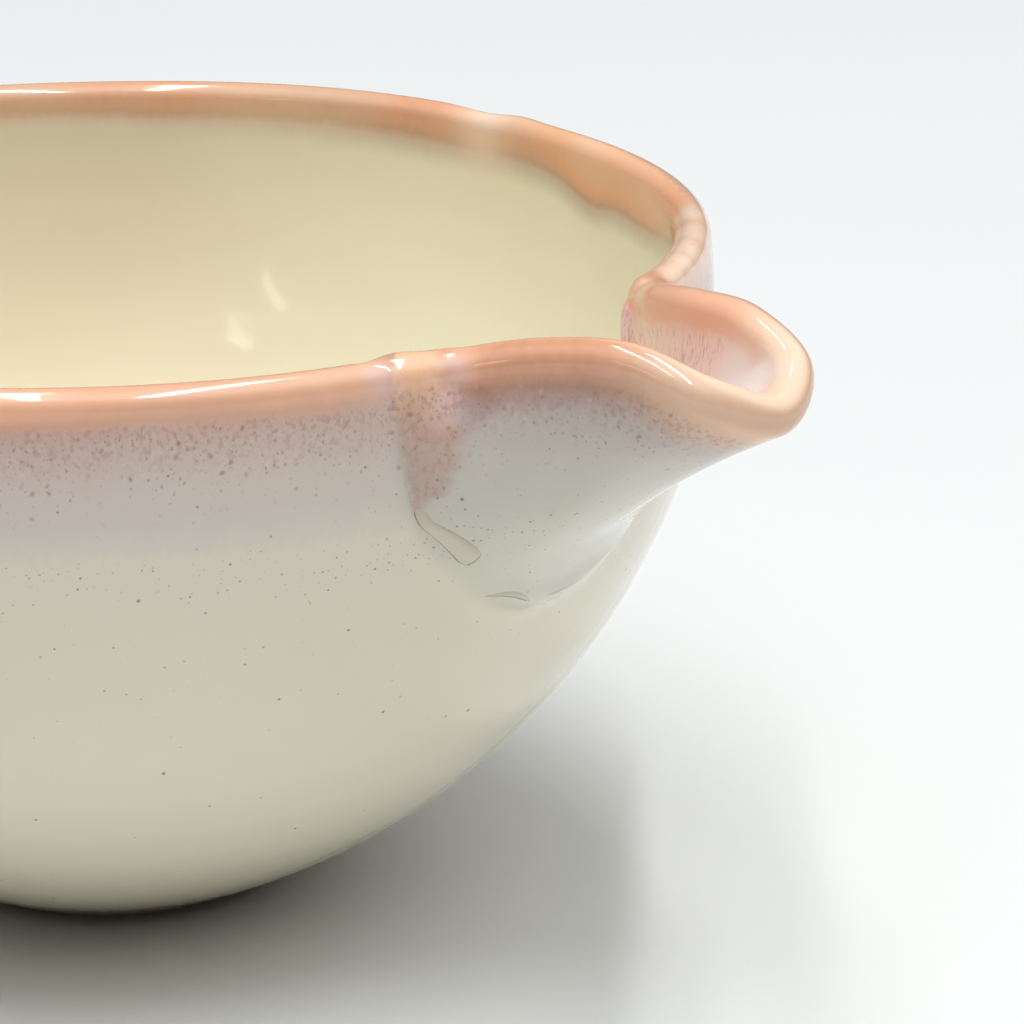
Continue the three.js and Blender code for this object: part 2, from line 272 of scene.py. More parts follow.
def channel_foot():
    """The line in which the channel's surface passes through the middle of the wall, unrolled: sideways, and height."""
    rows = sheet_rows[:T_COUNT]
    away = unit(np.cross(np.gradient(rows, axis=1), np.gradient(rows, axis=0)))
    if away[T_COUNT // 2, S_COUNT // 2, 2] > 0:
        away = -away
    p = rows - away * half_at(rows[..., 1], rows[..., 2])[..., None]
    free = np.hypot(p[..., 0], p[..., 1]) - (outer_r(np.minimum(p[..., 2], RIM_Z) - RIM_Z) - 1.6)
    line = []
    for i in range(S_COUNT):
        f = free[:, i]
        k = int(np.argmax(f < 0)) if (f < 0).any() else T_COUNT - 1
        q = p[k, i]
        if k > 0 and f[k] < 0:
            share = f[k - 1] / (f[k - 1] - f[k])
            q = p[k - 1, i] * (1 - share) + p[k, i] * share
        line.append((math.atan2(q[1], q[0]) * R, max(q[2] + 0.4, RIM_Z - 15.1)))
    line = np.array(line)
    wide = np.pad(line, ((4, 4), (0, 0)), mode="edge")
    return np.mean([wide[j : j + S_COUNT] for j in range(9)], axis=0)


# The outline of the notch in the wall.
notch_line = channel_foot()
notch_line = np.vstack(
    [
        np.stack([np.full(60, notch_line[0, 0]), np.linspace(RIM_Z + 16, notch_line[0, 1], 61)[:-1]], 1),
        notch_line,
        np.stack([np.full(60, notch_line[-1, 0]), np.linspace(notch_line[-1, 1], RIM_Z + 16, 61)[1:]], 1),
    ]
)
notch_table = Table(
    (-40.0, 24.0), (40.0, 84.0), 0.4, notch_line,
    lambda g: np.where(inside_polygon(g, notch_line), -1.0, 1.0),
)


# ---- the glazed surface as one field ----------------------------------------------------------------
# Where fingers left the clay fuller or pressed in: place, width and height in millimetres.
PRESSED = [
    (61.9, -17.0, RIM_Z - 0.6, 2.9, 0.42),
    (58.9, -19.7, RIM_Z + 0.4, 1.7, -0.30),
    (65.0, -14.7, RIM_Z + 1.6, 1.8, -0.32),
    (58.7, 16.4, RIM_Z + 1.8, 3.0, -0.38),
    (63.4, 15.6, RIM_Z + 1.4, 1.7, -0.25),
    (57.8, -1.8, RIM_Z - 33.0, 9.0, -0.38),
    (59.6, -13.8, RIM_Z - 25.0, 6.0, -0.22),
    (-1.2, 62.0, RIM_Z + 1.0, 4.0, -0.28),
    (4.6, 61.8, RIM_Z + 1.2, 3.0, 0.22),
]


def wall_field(x, y, z):
    th = np.arctan2(y, x)
    r = np.hypot(x, y)
    high = smooth(RIM_Z - 34, RIM_Z, z)
    lift = high * (0.22 * np.sin(2 * th + 0.6) + 0.16 * np.sin(3 * th + 2.0) + 0.07 * np.sin(7 * th + 1.0))
    sway = (
        0.16 * np.sin(2 * th + 1.3)
        + 0.10 * np.sin(3 * th - 0.6)
        + 0.05 * np.sin(5 * th + 0.05 * z)
        + 0.014 * np.sin(z * 0.93 + th + 0.8 * np.sin(0.11 * z))
        + 0.022 * np.sin(z * 0.41 - th + 1.7)
    ) * smooth(3, 14, z)
    return wall_table(r - sway, z - lift)


def field(P, parts=False):
    """Signed distance to the glazed surface, about, in millimetres."""
    x, y, z = P[:, 0], P[:, 1], P[:, 2]
    wall = wall_field(x, y, z)
    near = (x > 36) & (np.abs(y) < 34) & (z > 30)
    body = wall.copy()
    spout = np.full(len(P), 20.0)
    total = wall.copy()
    place, side = np.array(P, float), np.zeros(len(P))
    if near.any():
        q = P[near]
        th = np.arctan2(q[:, 1], q[:, 0])
        notched = notch_table(th * R, q[:, 2])
        cut = 0.15 - notched
        soft = 1.2 + 4.3 * smooth(62.0, 59.5, np.hypot(q[:, 0], q[:, 1])) * (0.45 + 0.55 * smooth(RIM_Z - 15, RIM_Z - 8, q[:, 2]))
        w = -smin(-wall[near], -cut, soft)
        d, at, sd = to_sheet(q)
        s = d - half_at(at[:, 1], at[:, 2])
        inner = smooth(1.5, -2.0, notched) * smooth(RIM_Z + 1.5, RIM_Z - 3.5, q[:, 2])
        k = 2.2 + 4.6 * np.maximum(smooth(RIM_Z - 4, RIM_Z - 19, q[:, 2]), inner)
        body[near], spout[near], place[near], side[near] = w, s, at, sd
        total[near] = smin(w, s, k)
    for cx, cy, cz, wide, high in PRESSED:
        close = (np.abs(x - cx) < 2.6 * wide) & (np.abs(y - cy) < 2.6 * wide) & (np.abs(z - cz) < 2.6 * wide)
        if close.any():
            q = P[close] - [cx, cy, cz]
            total[close] -= high * np.exp(-(q * q).sum(1) / wide**2) * smooth(2.6, 2.0, np.sqrt((q * q).sum(1)) / wide)
    if parts:
        return total, body, spout, place, side
    return total


# ---- the surface taken from the field ---------------------------------------------------------------
def surface_net():
    low = np.array([-67.0, -67.0, -0.6])
    high = np.array([97.0, 67.0, 79.5])
    n = np.ceil((high - low) / STEP).astype(int) + 1
    axes = [low[i] + STEP * np.arange(n[i]) for i in range(3)]
    gx, gy = np.meshgrid(axes[0], axes[1], indexing="ij")
    f = np.empty(n)
    rr = np.hypot(gx, gy)
    for k, z in enumerate(axes[2]):
        f[:, :, k] = np.where(rr > 70, rr - 64.0, 0.0)
        live = rr <= 70
        f[:, :, k][live] = wall_field(gx[live], gy[live], np.full(live.sum(), z))
    sub = [np.flatnonzero((axes[0] > 36)), np.flatnonzero(np.abs(axes[1]) < 34), np.flatnonzero(axes[2] > 30)]
    mesh = np.stack(np.meshgrid(*[axes[i][sub[i]] for i in range(3)], indexing="ij"), -1).reshape(-1, 3)
    rad = np.hypot(mesh[:, 0], mesh[:, 1])
    want = (rad > 50) & (mesh[:, 0] > 44)
    patch = f[np.ix_(*sub)].reshape(-1)
    patch[want] = field(mesh[want])
    f[np.ix_(*sub)] = patch.reshape([len(s) for s in sub])

    neg = f < 0
    corners = [(a, b, c) for a in (0, 1) for b in (0, 1) for c in (0, 1)]

    def corner(arr, a, b, c):
        return arr[a : arr.shape[0] - 1 + a, b : arr.shape[1] - 1 + b, c : arr.shape[2] - 1 + c]

    count = sum(corner(neg, *c).astype(np.int8) for c in corners)
    cells = np.argwhere((count > 0) & (count < 8))
    number = np.full(count.shape, -1)
    number[tuple(cells.T)] = np.arange(len(cells))
    acc, hits = np.zeros((len(cells), 3)), np.zeros(len(cells))
    for a in corners:
        for axis in range(3):
            if a[axis]:
                continue
            b = list(a)
            b[axis] = 1
            fa = f[tuple((cells + a).T)]
            fb = f[tuple((cells + b).T)]
            cross = (fa < 0) != (fb < 0)
            t = np.where(cross, fa / np.where(cross, fa - fb, 1), 0)
            p = np.repeat([a], len(cells), 0).astype(float)
            p[:, axis] += t
            acc[cross] += p[cross]
            hits += cross
    verts = low + STEP * (cells + acc / hits[:, None])
    quads = []
    for axis in range(3):
        o, p = (axis + 1) % 3, (axis + 2) % 3
        first = np.take(neg, range(n[axis] - 1), axis)
        second = np.take(neg, range(1, n[axis]), axis)
        at = np.argwhere(first != second)
        at = at[(at[:, o] > 0) & (at[:, p] > 0) & (at[:, o] < n[o] - 1) & (at[:, p] < n[p] - 1)]
        ring = []
        for do, dp in ((-1, -1), (0, -1), (0, 0), (-1, 0)):
            c = at.copy()
            c[:, o] += do
            c[:, p] += dp
            ring.append(number[tuple(c.T)])
        ring = np.stack(ring, 1)
        out = first[tuple(at.T)]
        ring[~out] = ring[~out][:, ::-1]
        quads.append(ring)
    quads = np.vstack(quads)
    a = np.linalg.norm(verts[quads[:, 0]] - verts[quads[:, 2]], axis=1)
    b = np.linalg.norm(verts[quads[:, 1]] - verts[quads[:, 3]], axis=1)
    short = (a <= b)[:, None]
    tris = np.vstack(
        [
            np.where(short, quads[:, [0, 1, 2]], quads[:, [0, 1, 3]]),
            np.where(short, quads[:, [0, 2, 3]], quads[:, [1, 2, 3]]),
        ]
    )
    return verts, tris


def gradient(P, h=0.3):
    g = np.empty_like(P)
    for i in range(3):
        d = np.zeros(3)
        d[i] = h
        g[:, i] = (field(P + d) - field(P - d)) / (2 * h)
    return g


def settle(P, times=2):
    """Moves points onto the surface, and returns them with their normals."""
    P = np.array(P)
    for _ in range(times):
        g = gradient(P)
        f = field(P)
        P -= np.clip(f / np.maximum((g * g).sum(1), 0.2), -0.6, 0.6)[:, None] * g
    return P, unit(gradient(P))


def weld(v, n, t, near):
    """Neighbouring points closer than this become one, and the triangles that this flattens are left out."""
    e = np.vstack([t[:, [0, 1]], t[:, [1, 2]], t[:, [2, 0]]])
    short = e[np.linalg.norm(v[e[:, 0]] - v[e[:, 1]], axis=1) < near]
    to = np.arange(len(v))
    for a, b in short.tolist():
        while to[a] != a:
            a = to[a]
        while to[b] != b:
            b = to[b]
        to[max(a, b)] = min(a, b)
    while (to != to[to]).any():
        to = to[to]
    t = to[t]
    t = t[(t[:, 0] != t[:, 1]) & (t[:, 1] != t[:, 2]) & (t[:, 2] != t[:, 0])]
    _, back, many = np.unique(np.sort(t, 1), axis=0, return_inverse=True, return_counts=True)
    used, t = np.unique(t[many[back.reshape(-1)] == 1], return_inverse=True)
    return v[used], n[used], t.reshape(-1, 3)


verts, tris = surface_net()
verts, norms = settle(verts)
verts, norms, tris = weld(verts, norms, tris, 0.02)
print("surface", len(verts), len(tris))


class Patchwork:
    """The surface as triangles that are cut along level lines, with values at each vertex."""

    def __init__(self, verts, norms, tris):
        self.v, self.n, self.t = verts, norms, tris
        self.values = measure(verts)

    def cut(self, level):
        """Splits the triangles along level = 0, a function of the values."""
        g = level(self.values)
        t = self.t
        e = np.sort(np.vstack([t[:, [0, 1]], t[:, [1, 2]], t[:, [2, 0]]]), 1)
        cross = e[g[e[:, 0]] * g[e[:, 1]] < 0]
        if len(cross) == 0:
            return
        near = np.minimum(np.abs(g[cross[:, 0]]), np.abs(g[cross[:, 1]])) / np.abs(g[cross[:, 0]] - g[cross[:, 1]])
        pick = np.where(np.abs(g[cross[:, 0]]) < np.abs(g[cross[:, 1]]), cross[:, 0], cross[:, 1])
        self.flat = np.unique(pick[near < 0.1])
        g = g.copy()
        g[self.flat] = 0.0
        cross = np.unique(e[g[e[:, 0]] * g[e[:, 1]] < 0], axis=0)
        f = (g[cross[:, 0]] / (g[cross[:, 0]] - g[cross[:, 1]]))[:, None]
        new = self.v[cross[:, 0]] * (1 - f) + self.v[cross[:, 1]] * f
        new, new_n = settle(new, 1)
        first = len(self.v)
        key = {tuple(c): first + i for i, c in enumerate(cross.tolist())}
        self.v = np.vstack([self.v, new])
        self.n = np.vstack([self.n, new_n])
        more = measure(new)
        self.values = {k: np.concatenate([a, more[k]]) for k, a in self.values.items()}
        sign = np.sign(g)
        tri_sign = sign[t]
        straddle = (tri_sign.min(1) < 0) & (tri_sign.max(1) > 0)
        out = [t[~straddle]]
        made = []
        for tri, s in zip(t[straddle].tolist(), tri_sign[straddle].tolist()):
            if 0 in s:
                k = s.index(0)
                a, b, c = tri[k], tri[(k + 1) % 3], tri[(k + 2) % 3]
                m = key[(min(b, c), max(b, c))]
                made += [(a, b, m), (a, m, c)]
            else:
                k = next(i for i in range(3) if s[i] != s[(i + 1) % 3] and s[i] != s[(i + 2) % 3])
                a, b, c = tri[k], tri[(k + 1) % 3], tri[(k + 2) % 3]
                m = key[(min(a, b), max(a, b))]
                n = key[(min(a, c), max(a, c))]
                made += [(a, m, n), (m, b, c), (m, c, n)]
        self.t = np.vstack(out + [np.array(made)])

    def middle(self, name):
        return self.values[name][self.t].mean(1)


lip_tree = KDTree(S_COUNT)
for i, p in enumerate(crest_line.tolist()):
    lip_tree.insert(p, i)
lip_tree.balance()
LIP_END = math.atan2(abs(crest_points[0, 1]), crest_points[0, 0])


def measure(P):
    """Values that say where on the bowl each point is."""
    _, body, spout, place, side = field(P, True)
    x, y, z = P.T
    r = np.hypot(x, y)
    th = np.arctan2(y, x)
    past = np.maximum(LIP_END - np.abs(th), 0.0) * R
    lip = np.sqrt((r - R) ** 2 + (z - RIM_Z) ** 2 + past**2)
    near = np.flatnonzero((x > 40) & (np.abs(y) < 36) & (z > 34))
    for i in near.tolist():
        lip[i] = min(lip[i], lip_tree.find(P[i])[2])
    over = np.minimum(z, RIM_Z) - RIM_Z
    middle = outer_r(over) - 1.95 - 1.1 * smooth(0, -60, over)
    part = (r - middle) / 1.9
    # On the spout the side comes from its own middle surface.
    own = smooth(1.5, -1.5, spout - body)
    part = part * (1 - own) + (side / 2.0) * own
    return {
        "lip": lip - 2.0,
        "part": np.clip(part, -1, 1),
        "own": own,
        "gap": spout - body,
        "z": z,
        "r": r,
        "th": th,
    }


work = Patchwork(verts, norms, tris)


def coil_level(v):
    return np.maximum(np.maximum(np.abs(v["gap"]) - 1.7, -3.0 * v["part"]), v["z"] - (RIM_Z - 4.5))


def rim_level(v):
    return v["z"] - RIM_Z + 3.8 + 3.0 * smooth(-0.6, 0.6, v["part"])


work.cut(coil_level)
work.cut(lambda v: v["gap"])
work.cut(rim_level)
work.cut(lambda v: v["z"] - 1.2)
m_gap, m_z, m_part = work.middle("gap"), work.middle("z"), work.middle("part")
m_coil = coil_level({k: work.middle(k) for k in ("gap", "part", "z")})
m_rim = rim_level({k: work.middle(k) for k in ("part", "z")})
label = np.where(m_part > 0, 1, 2)  # 1 outside, 2 inside
label[m_rim > 0] = 3
label[m_gap < 0] = 4
label[m_coil < 0] = 5
label[m_z < 1.2] = 0


# ---- meshes -----------------------------------------------------------------------------------------
def to_row(P):
    return (np.asarray(P, float) + [AXIS_X, 0, 0]) / 1000.0


def make_object(name, points, faces, normals=None, values=None, uv=None):
    """A mesh object in the row frame from millimetre points; faces are lists of one length, or of several."""
    me = bpy.data.meshes.new(name)
    groups = faces if isinstance(faces, list) else [faces]
    sizes = np.concatenate([np.full(len(g), g.shape[1]) for g in groups])
    loops = np.concatenate([g.reshape(-1) for g in groups]).astype(np.int32)
    me.vertices.add(len(points))
    me.vertices.foreach_set("co", to_row(points).astype(np.float32).ravel())
    me.loops.add(len(loops))
    me.loops.foreach_set("vertex_index", loops)
    me.polygons.add(len(sizes))
    starts = np.concatenate([[0], np.cumsum(sizes)[:-1]]).astype(np.int32)
    me.polygons.foreach_set("loop_start", starts)
    me.polygons.foreach_set("use_smooth", np.ones(len(sizes), bool))
    me.update(calc_edges=True)
    me.validate()
    for key, a in (values or {}).items():
        me.attributes.new(key, "FLOAT", "POINT").data.foreach_set("value", np.asarray(a, np.float32))
    if uv is not None:
        me.uv_layers.new(name="OFBake").data.foreach_set("uv", uv.astype(np.float32).ravel())
    if normals is not None:
        me.normals_split_custom_set_from_vertices(normals.astype(np.float32).tolist())
    ob = bpy.data.objects.new(name, me)
    bpy.context.scene.collection.objects.link(ob)
    return ob


def finer(v, n, t):
    """Each triangle as four, with the new points on the surface."""
    e = np.sort(np.vstack([t[:, [0, 1]], t[:, [1, 2]], t[:, [2, 0]]]), 1)
    pairs, back = np.unique(e, axis=0, return_inverse=True)
    mid, mid_n = settle(0.5 * (v[pairs[:, 0]] + v[pairs[:, 1]]), 2)
    a, b, c = (len(v) + back.reshape(-1)).reshape(3, -1)
    tris = np.vstack(
        [
            np.stack([t[:, 0], a, c], 1),
            np.stack([a, t[:, 1], b], 1),
            np.stack([c, b, t[:, 2]], 1),
            np.stack([a, b, c], 1),
        ]
    )
    return np.vstack([v, mid]), np.vstack([n, mid_n]), tris


def calmer(n, t, times):
    """Normals evened out with their neighbours."""
    for _ in range(times):
        total = n.copy()
        for i in range(3):
            for j in range(3):
                if i != j:
                    for k in range(3):
                        total[:, k] += np.bincount(t[:, i], n[t[:, j], k], len(n)) * 0.5
        n = unit(total)
    return n


def parted(v, n, t):
    """Where the edge of a coat touches itself in one point, each side gets a point of its own."""
    e = np.vstack([t[:, [0, 1]], t[:, [1, 2]], t[:, [2, 0]]])
    _, where, many = np.unique(e.min(1) * len(v) + e.max(1), return_index=True, return_counts=True)
    ends = np.bincount(e[where[many == 1]].reshape(-1), minlength=len(v))
    t = t.copy()
    copies = []
    for p in np.flatnonzero(ends > 2).tolist():
        left = np.flatnonzero((t == p).any(1)).tolist()
        first = True
        while left:
            fan, todo = [], [left.pop()]
            while todo:
                a = todo.pop()
                fan.append(a)
                for b in [b for b in left if len(set(t[a].tolist()) & set(t[b].tolist())) == 2]:
                    left.remove(b)
                    todo.append(b)
            if not first:
                for a in fan:
                    t[a, t[a] == p] = len(v) + len(copies)
                copies.append(p)
            first = False
    return np.vstack([v, v[copies]]), np.vstack([n, n[copies]]), t


def shell(name, t, fine=0, uv_of=None):
    """A closed coat from some of the surface's triangles: the surface, and the same a coat's thickness lower."""
    used, t = np.unique(t, return_inverse=True)
    t = t.reshape(-1, 3)
    v, n = work.v[used], work.n[used]
    for _ in range(fine):
        v, n, t = finer(v, n, t)
    v, n, t = parted(v, n, t)
    values = measure(v)
    values.update(marks(v, values))
    # The sill of the notch is glazed like the channel.
    sill = smooth(0.2, 0.5, n[:, 2]) * smooth(4.5, 2.0, values["gap"]) * smooth(0.8, 2.0, values["lip"])
    values["part"] = np.clip(values["part"] - 2.0 * sill, -1, 1)
    count = len(v)
    e = np.vstack([t[:, [0, 1]], t[:, [1, 2]], t[:, [2, 0]]])
    code = e.min(1) * count + e.max(1)
    _, where, many = np.unique(code, return_index=True, return_counts=True)
    edge = e[where[many == 1]]
    sides = np.stack([edge[:, 1], edge[:, 0], edge[:, 0] + count, edge[:, 1] + count], 1)
    points = np.vstack([v, v - n * COAT])
    normals = np.vstack([n, -n])
    data = {k: np.concatenate([values[k], values[k]]) for k in KEPT}
    uv = None
    if uv_of is not None:
        flat = uv_of(v, values)
        top = flat[t.reshape(-1)]
        low = flat[t[:, ::-1].reshape(-1)] * 0.11 + 0.005
        rest = flat[sides[:, [0, 1, 1, 0]].reshape(-1)] * 0.11 + [0.885, 0.005]
        uv = np.vstack([top, low, rest])
    return make_object(name, points, [t, t[:, ::-1] + count, sides], normals, data, uv)


def round_map(length):
    """A flat map round the bowl's axis: the distance from the middle is the length along the wall."""

    def flat(v, values):
        s = length(values["r"], values["z"])
        return 0.5 + 0.48 * np.stack([np.cos(values["th"]), np.sin(values["th"])], 1) * s[:, None]

    return flat


def along(line):
    """The share of a section line's length at a place near it."""
    reach = np.concatenate([[0], np.cumsum(np.linalg.norm(np.diff(line, axis=0), axis=1))])
    order = np.argsort(line[:, 1] + 0.6 * line[:, 0])

    def share(r, z):
        return np.interp(z + 0.6 * r, (line[:, 1] + 0.6 * line[:, 0])[order], reach[order]) / reach[-1]

    return share


# ---- the photograph's camera --------------------------------------------------------------------------
c47, s47 = math.cos(math.radians(47)), math.sin(math.radians(47))
eye = np.array([7.18117 * s47, -7.18117 * c47, 1.90674]) * R + [0, 0, RIM_Z]
aim = np.array([c47 * 0.092168 - s47 * 0.943255, s47 * 0.092168 + c47 * 0.943255, -0.319022])
right = unit(np.cross(aim, [0, 0, 1.0]))
upward = np.cross(right, aim)
FOCAL = 4378.0
ground = BVHTree.FromPolygons(work.v.tolist(), work.t.tolist())


def seen(x, y):
    """The place on the surface behind a point of the picture."""
    ray = aim + right * ((x - 512) / FOCAL) + upward * ((512 - y) / FOCAL)
    loc, normal, _, _ = ground.ray_cast(Vector(eye), Vector(ray))
    return np.array(loc)


def to_line(P, line):
    """Distance from points to a line through places, and the share of the line at the nearest."""
    best, share = np.full(len(P), 1e9), np.zeros(len(P))
    reach = np.concatenate([[0], np.cumsum(np.linalg.norm(np.diff(line, axis=0), axis=1))])
    for i in range(len(line) - 1):
        a, b = line[i], line[i + 1]
        t = np.clip(((P - a) @ (b - a)) / max((b - a) @ (b - a), 1e-9), 0, 1)
        d = np.linalg.norm(a + t[:, None] * (b - a) - P, axis=1)
        less = d < best
        best[less] = d[less]
        share[less] = (reach[i] + t[less] * (reach[i + 1] - reach[i])) / reach[-1]
    return best, share


crease = np.array([seen(*p) for p in ((393, 372), (395, 400), (400, 440), (407, 480), (412, 505), (416, 516))])
pale_spots = [(seen(383, 383), 1.5), (seen(372, 374), 1.1), (seen(455, 372), 1.5), (seen(448, 392), 1.7), (seen(446, 408), 1.5)]
# Places and widths of a painted highlight on the channel's floor near the tip.
painted_glint_spots = [(seen(752, 385), 3.8), (seen(734, 378), 3.6)]
pale_far = [(np.array([0.5, 61.9, RIM_Z + 0.6]), 4.2), (seen(702, 216), 3.4), (seen(698, 232), 4.4), (seen(692, 248), 4.6), (seen(686, 263), 4.0), (seen(679, 277), 3.0)]


def marks(v, values):
    """Where the glaze ran or broke, and where a highlight is painted on the channel's floor near the tip."""
    out = {}
    near = (v[:, 0] > 40) & (v[:, 1] < -4) & (v[:, 2] > 40) & (values["part"] > -0.5)
    run = np.zeros(len(v))
    if near.any():
        q = v[near]
        d, share = to_line(q, crease)
        line_at = np.array([np.interp(share, np.linspace(0, 1, len(crease)), crease[:, k]) for k in range(3)]).T
        out_dir = unit(line_at * [1, 1, 0])
        side = np.stack([-out_dir[:, 1], out_dir[:, 0], 0 * d], 1)
        lean = ((q - line_at) * (side + 0.8 * out_dir)).sum(1)
        d = np.where(lean > 0, d, -d)
        wave = 0.35 * np.sin(q[:, 2] * 2.1) + 0.25 * np.sin(q[:, 2] * 4.7 + 1)
        width = np.interp(share, [0, 0.2, 0.5, 0.75, 0.9, 1.0], [4.6, 5.2, 6.0, 4.4, 2.0, 0.3])
        run[near] = smooth(-0.55, 0.25, d) * smooth(width + 1.0 + wave, width - 1.0 + wave, d) * smooth(1.03, 0.97, share + 0.04 * (d > 6))
    pale = np.zeros(len(v))
    for c, w in pale_spots + pale_far:
        q = (v - c) * [1, 1, 0.75]
        pale = np.maximum(pale, np.exp(-(q * q).sum(1) / w**2))
    th = values["th"]
    sag = 0.5 + 0.5 * np.sin(2 * th + 0.8) + 0.35 * np.sin(5 * th + 0.4) + 0.22 * np.sin(11 * th)
    sag_in = (
        0.2
        + 2.3 * np.exp(-(((np.degrees(th) - 62) / 15) ** 2))
        + 1.3 * np.exp(-(((np.degrees(th) - 72) / 4.5) ** 2))
        + 1.5 * np.exp(-(((np.degrees(th) + 75) / 45) ** 2))
        + 0.25 * np.sin(4 * th + 1) + 0.15 * np.sin(9 * th)
    )
    # A painted highlight on the channel's floor near the tip.
    painted_glint = np.zeros(len(v))
    for c, w in painted_glint_spots:
        q = v - c
        painted_glint = np.maximum(painted_glint, np.exp(-(q * q).sum(1) / w**2))
    out["run"] = run
    out["pale"] = pale
    out["painted_glint"] = painted_glint
    out["sag"] = np.where(values["part"] > 0, sag, sag_in) * (1 - values["own"])
    return out


KEPT = ("lip", "part", "own", "gap", "run", "pale", "sag", "painted_glint")
corner_out = np.flatnonzero(section[:, 0] >= 63.0)[0]
top_at = int(np.argmax(section[:, 1]))
out_line = section[120:top_at]
in_line = section[top_at:][::-1]

outer_piece = shell("outer_glaze_coat", work.t[label == 1], 0, round_map(along(out_line)))
liner_piece = shell("liner_glaze_coat", work.t[label == 2], 0, round_map(along(in_line)))
rim_piece = shell("rim_glaze_coat", work.t[label == 3], 1)
spout_piece = shell("spout_glaze_coat", work.t[label == 4], 1)
seam_piece = shell("seam_fillet", work.t[label == 5], 1)
for o in (outer_piece, liner_piece, rim_piece, spout_piece, seam_piece):
    print(o.name, len(o.data.vertices), sum(len(p.vertices) - 2 for p in o.data.polygons))

# ---- small raised pieces of glaze on the seam -----------------------------------------------------------
def on_surface(P):
    """The nearest places on the surface, and their normals."""
    out, n = [], []
    for p in P.tolist():
        loc, _, _, _ = ground.find_nearest(p)
        out.append(loc)
    out, n = settle(np.array(out), 2)
    return out, n


def resample(points, widths, count):
    points = np.asarray(points, float)
    u = np.linspace(0, 1, count)
    line, tangent = catmull(points, u)
    return line, tangent, np.interp(u, np.linspace(0, 1, len(widths)), widths)


def tongue(name, pixels, widths, heights, lean=0.0, sink=0.22, rows=90, across=28):
    """A flow of glaze lying on the surface: a closed body along a line of places, with half-widths and heights in
    millimetres. lean moves the crown to one side, as where a thick edge overlaps its neighbour."""
    line, tangent, w = resample([seen(*p) for p in pixels], widths, rows)
    h = np.interp(np.linspace(0, 1, rows), np.linspace(0, 1, len(heights)), heights)
    line, normal = on_surface(line)
    side = unit(np.cross(normal, tangent))
    v = np.linspace(-1, 1, across)
    v = np.sign(v) * (1 - (1 - np.abs(v)) ** 1.6)
    end = np.linspace(0, 1, rows)
    w = w * np.power(np.clip(1 - np.clip((end - 0.86) / 0.14, 0, 1) ** 2.6, 0, 1), 0.42)
    flat = line[:, None, :] + side[:, None, :] * (w[:, None] * v[None, :])[:, :, None]
    base, n = on_surface(flat.reshape(-1, 3))
    moved = np.clip(v - lean * (1 - v * v), -1, 1)
    crown = np.power(np.clip(1 - moved**2, 0, 1), 0.5)
    cap = np.power(np.clip(1 - np.clip((end - 0.9) / 0.1, 0, 1) ** 2, 0, 1), 0.5) * np.power(np.clip(end / 0.12, 0, 1), 0.6)
    high = (h * cap)[:, None] * crown[None, :]
    top = base + n * (high.reshape(-1) - 0.04)[:, None]
    low = base - n * sink
    grid = np.arange(rows * across).reshape(rows, across)
    quads = np.stack([grid[:-1, :-1], grid[:-1, 1:], grid[1:, 1:], grid[1:, :-1]], -1).reshape(-1, 4)
    ring = np.concatenate([grid[0, :], grid[1:, -1], grid[-1, -2::-1], grid[-2:0:-1, 0]])
    nxt = np.roll(ring, -1)
    m = rows * across
    # The side of the grid that looks away from the surface is the top.
    p, q, r = base[quads[0, 0]], base[quads[0, 1]], base[quads[0, 2]]
    if np.dot(np.cross(q - p, r - p), n[quads[0, 0]]) < 0:
        quads = quads[:, ::-1]
        ring, nxt = nxt, ring
    faces = np.vstack([quads, quads[:, ::-1] + m, np.stack([nxt, ring, ring + m, nxt + m], 1)])
    values = measure(np.vstack([base, base]))
    values.update(marks(np.vstack([base, base]), values))
    data = {k: values[k] for k in KEPT}
    rim = np.tile(v, rows)
    data["edge"] = np.concatenate([rim, rim])
    data["way"] = np.tile(np.repeat(end, across), 2)
    return make_object(name, np.vstack([top, low]), faces, None, data)


drip_piece = tongue(
    "glaze_drip",
    [(420.5, 507), (422, 516), (426.5, 524), (435, 530), (446, 537), (456.5, 545), (465.5, 553), (474, 562)],
    [0.75, 0.72, 0.7, 0.75, 0.95, 1.1, 1.22, 1.25],
    [0.05, 0.16, 0.3, 0.38, 0.44, 0.5, 0.54, 0.54],
    lean=-0.3,
)
lap_piece = tongue(
    "seam_lap",
    [(482, 596.5), (492, 595.5), (504, 594), (515, 594.5), (523, 597), (530, 601)],
    [0.12, 0.28, 0.4, 0.45, 0.38, 0.2],
    [0.04, 0.12, 0.18, 0.2, 0.16, 0.06],
    lean=-0.45,
)
thread_piece = tongue(
    "seam_thread",
    [(541, 597), (556, 592), (572, 584.5), (586, 576), (598, 567)],
    [0.12, 0.18, 0.18, 0.18, 0.1],
    [0.03, 0.06, 0.06, 0.05, 0.02],
    lean=-0.2,
    across=16,
)


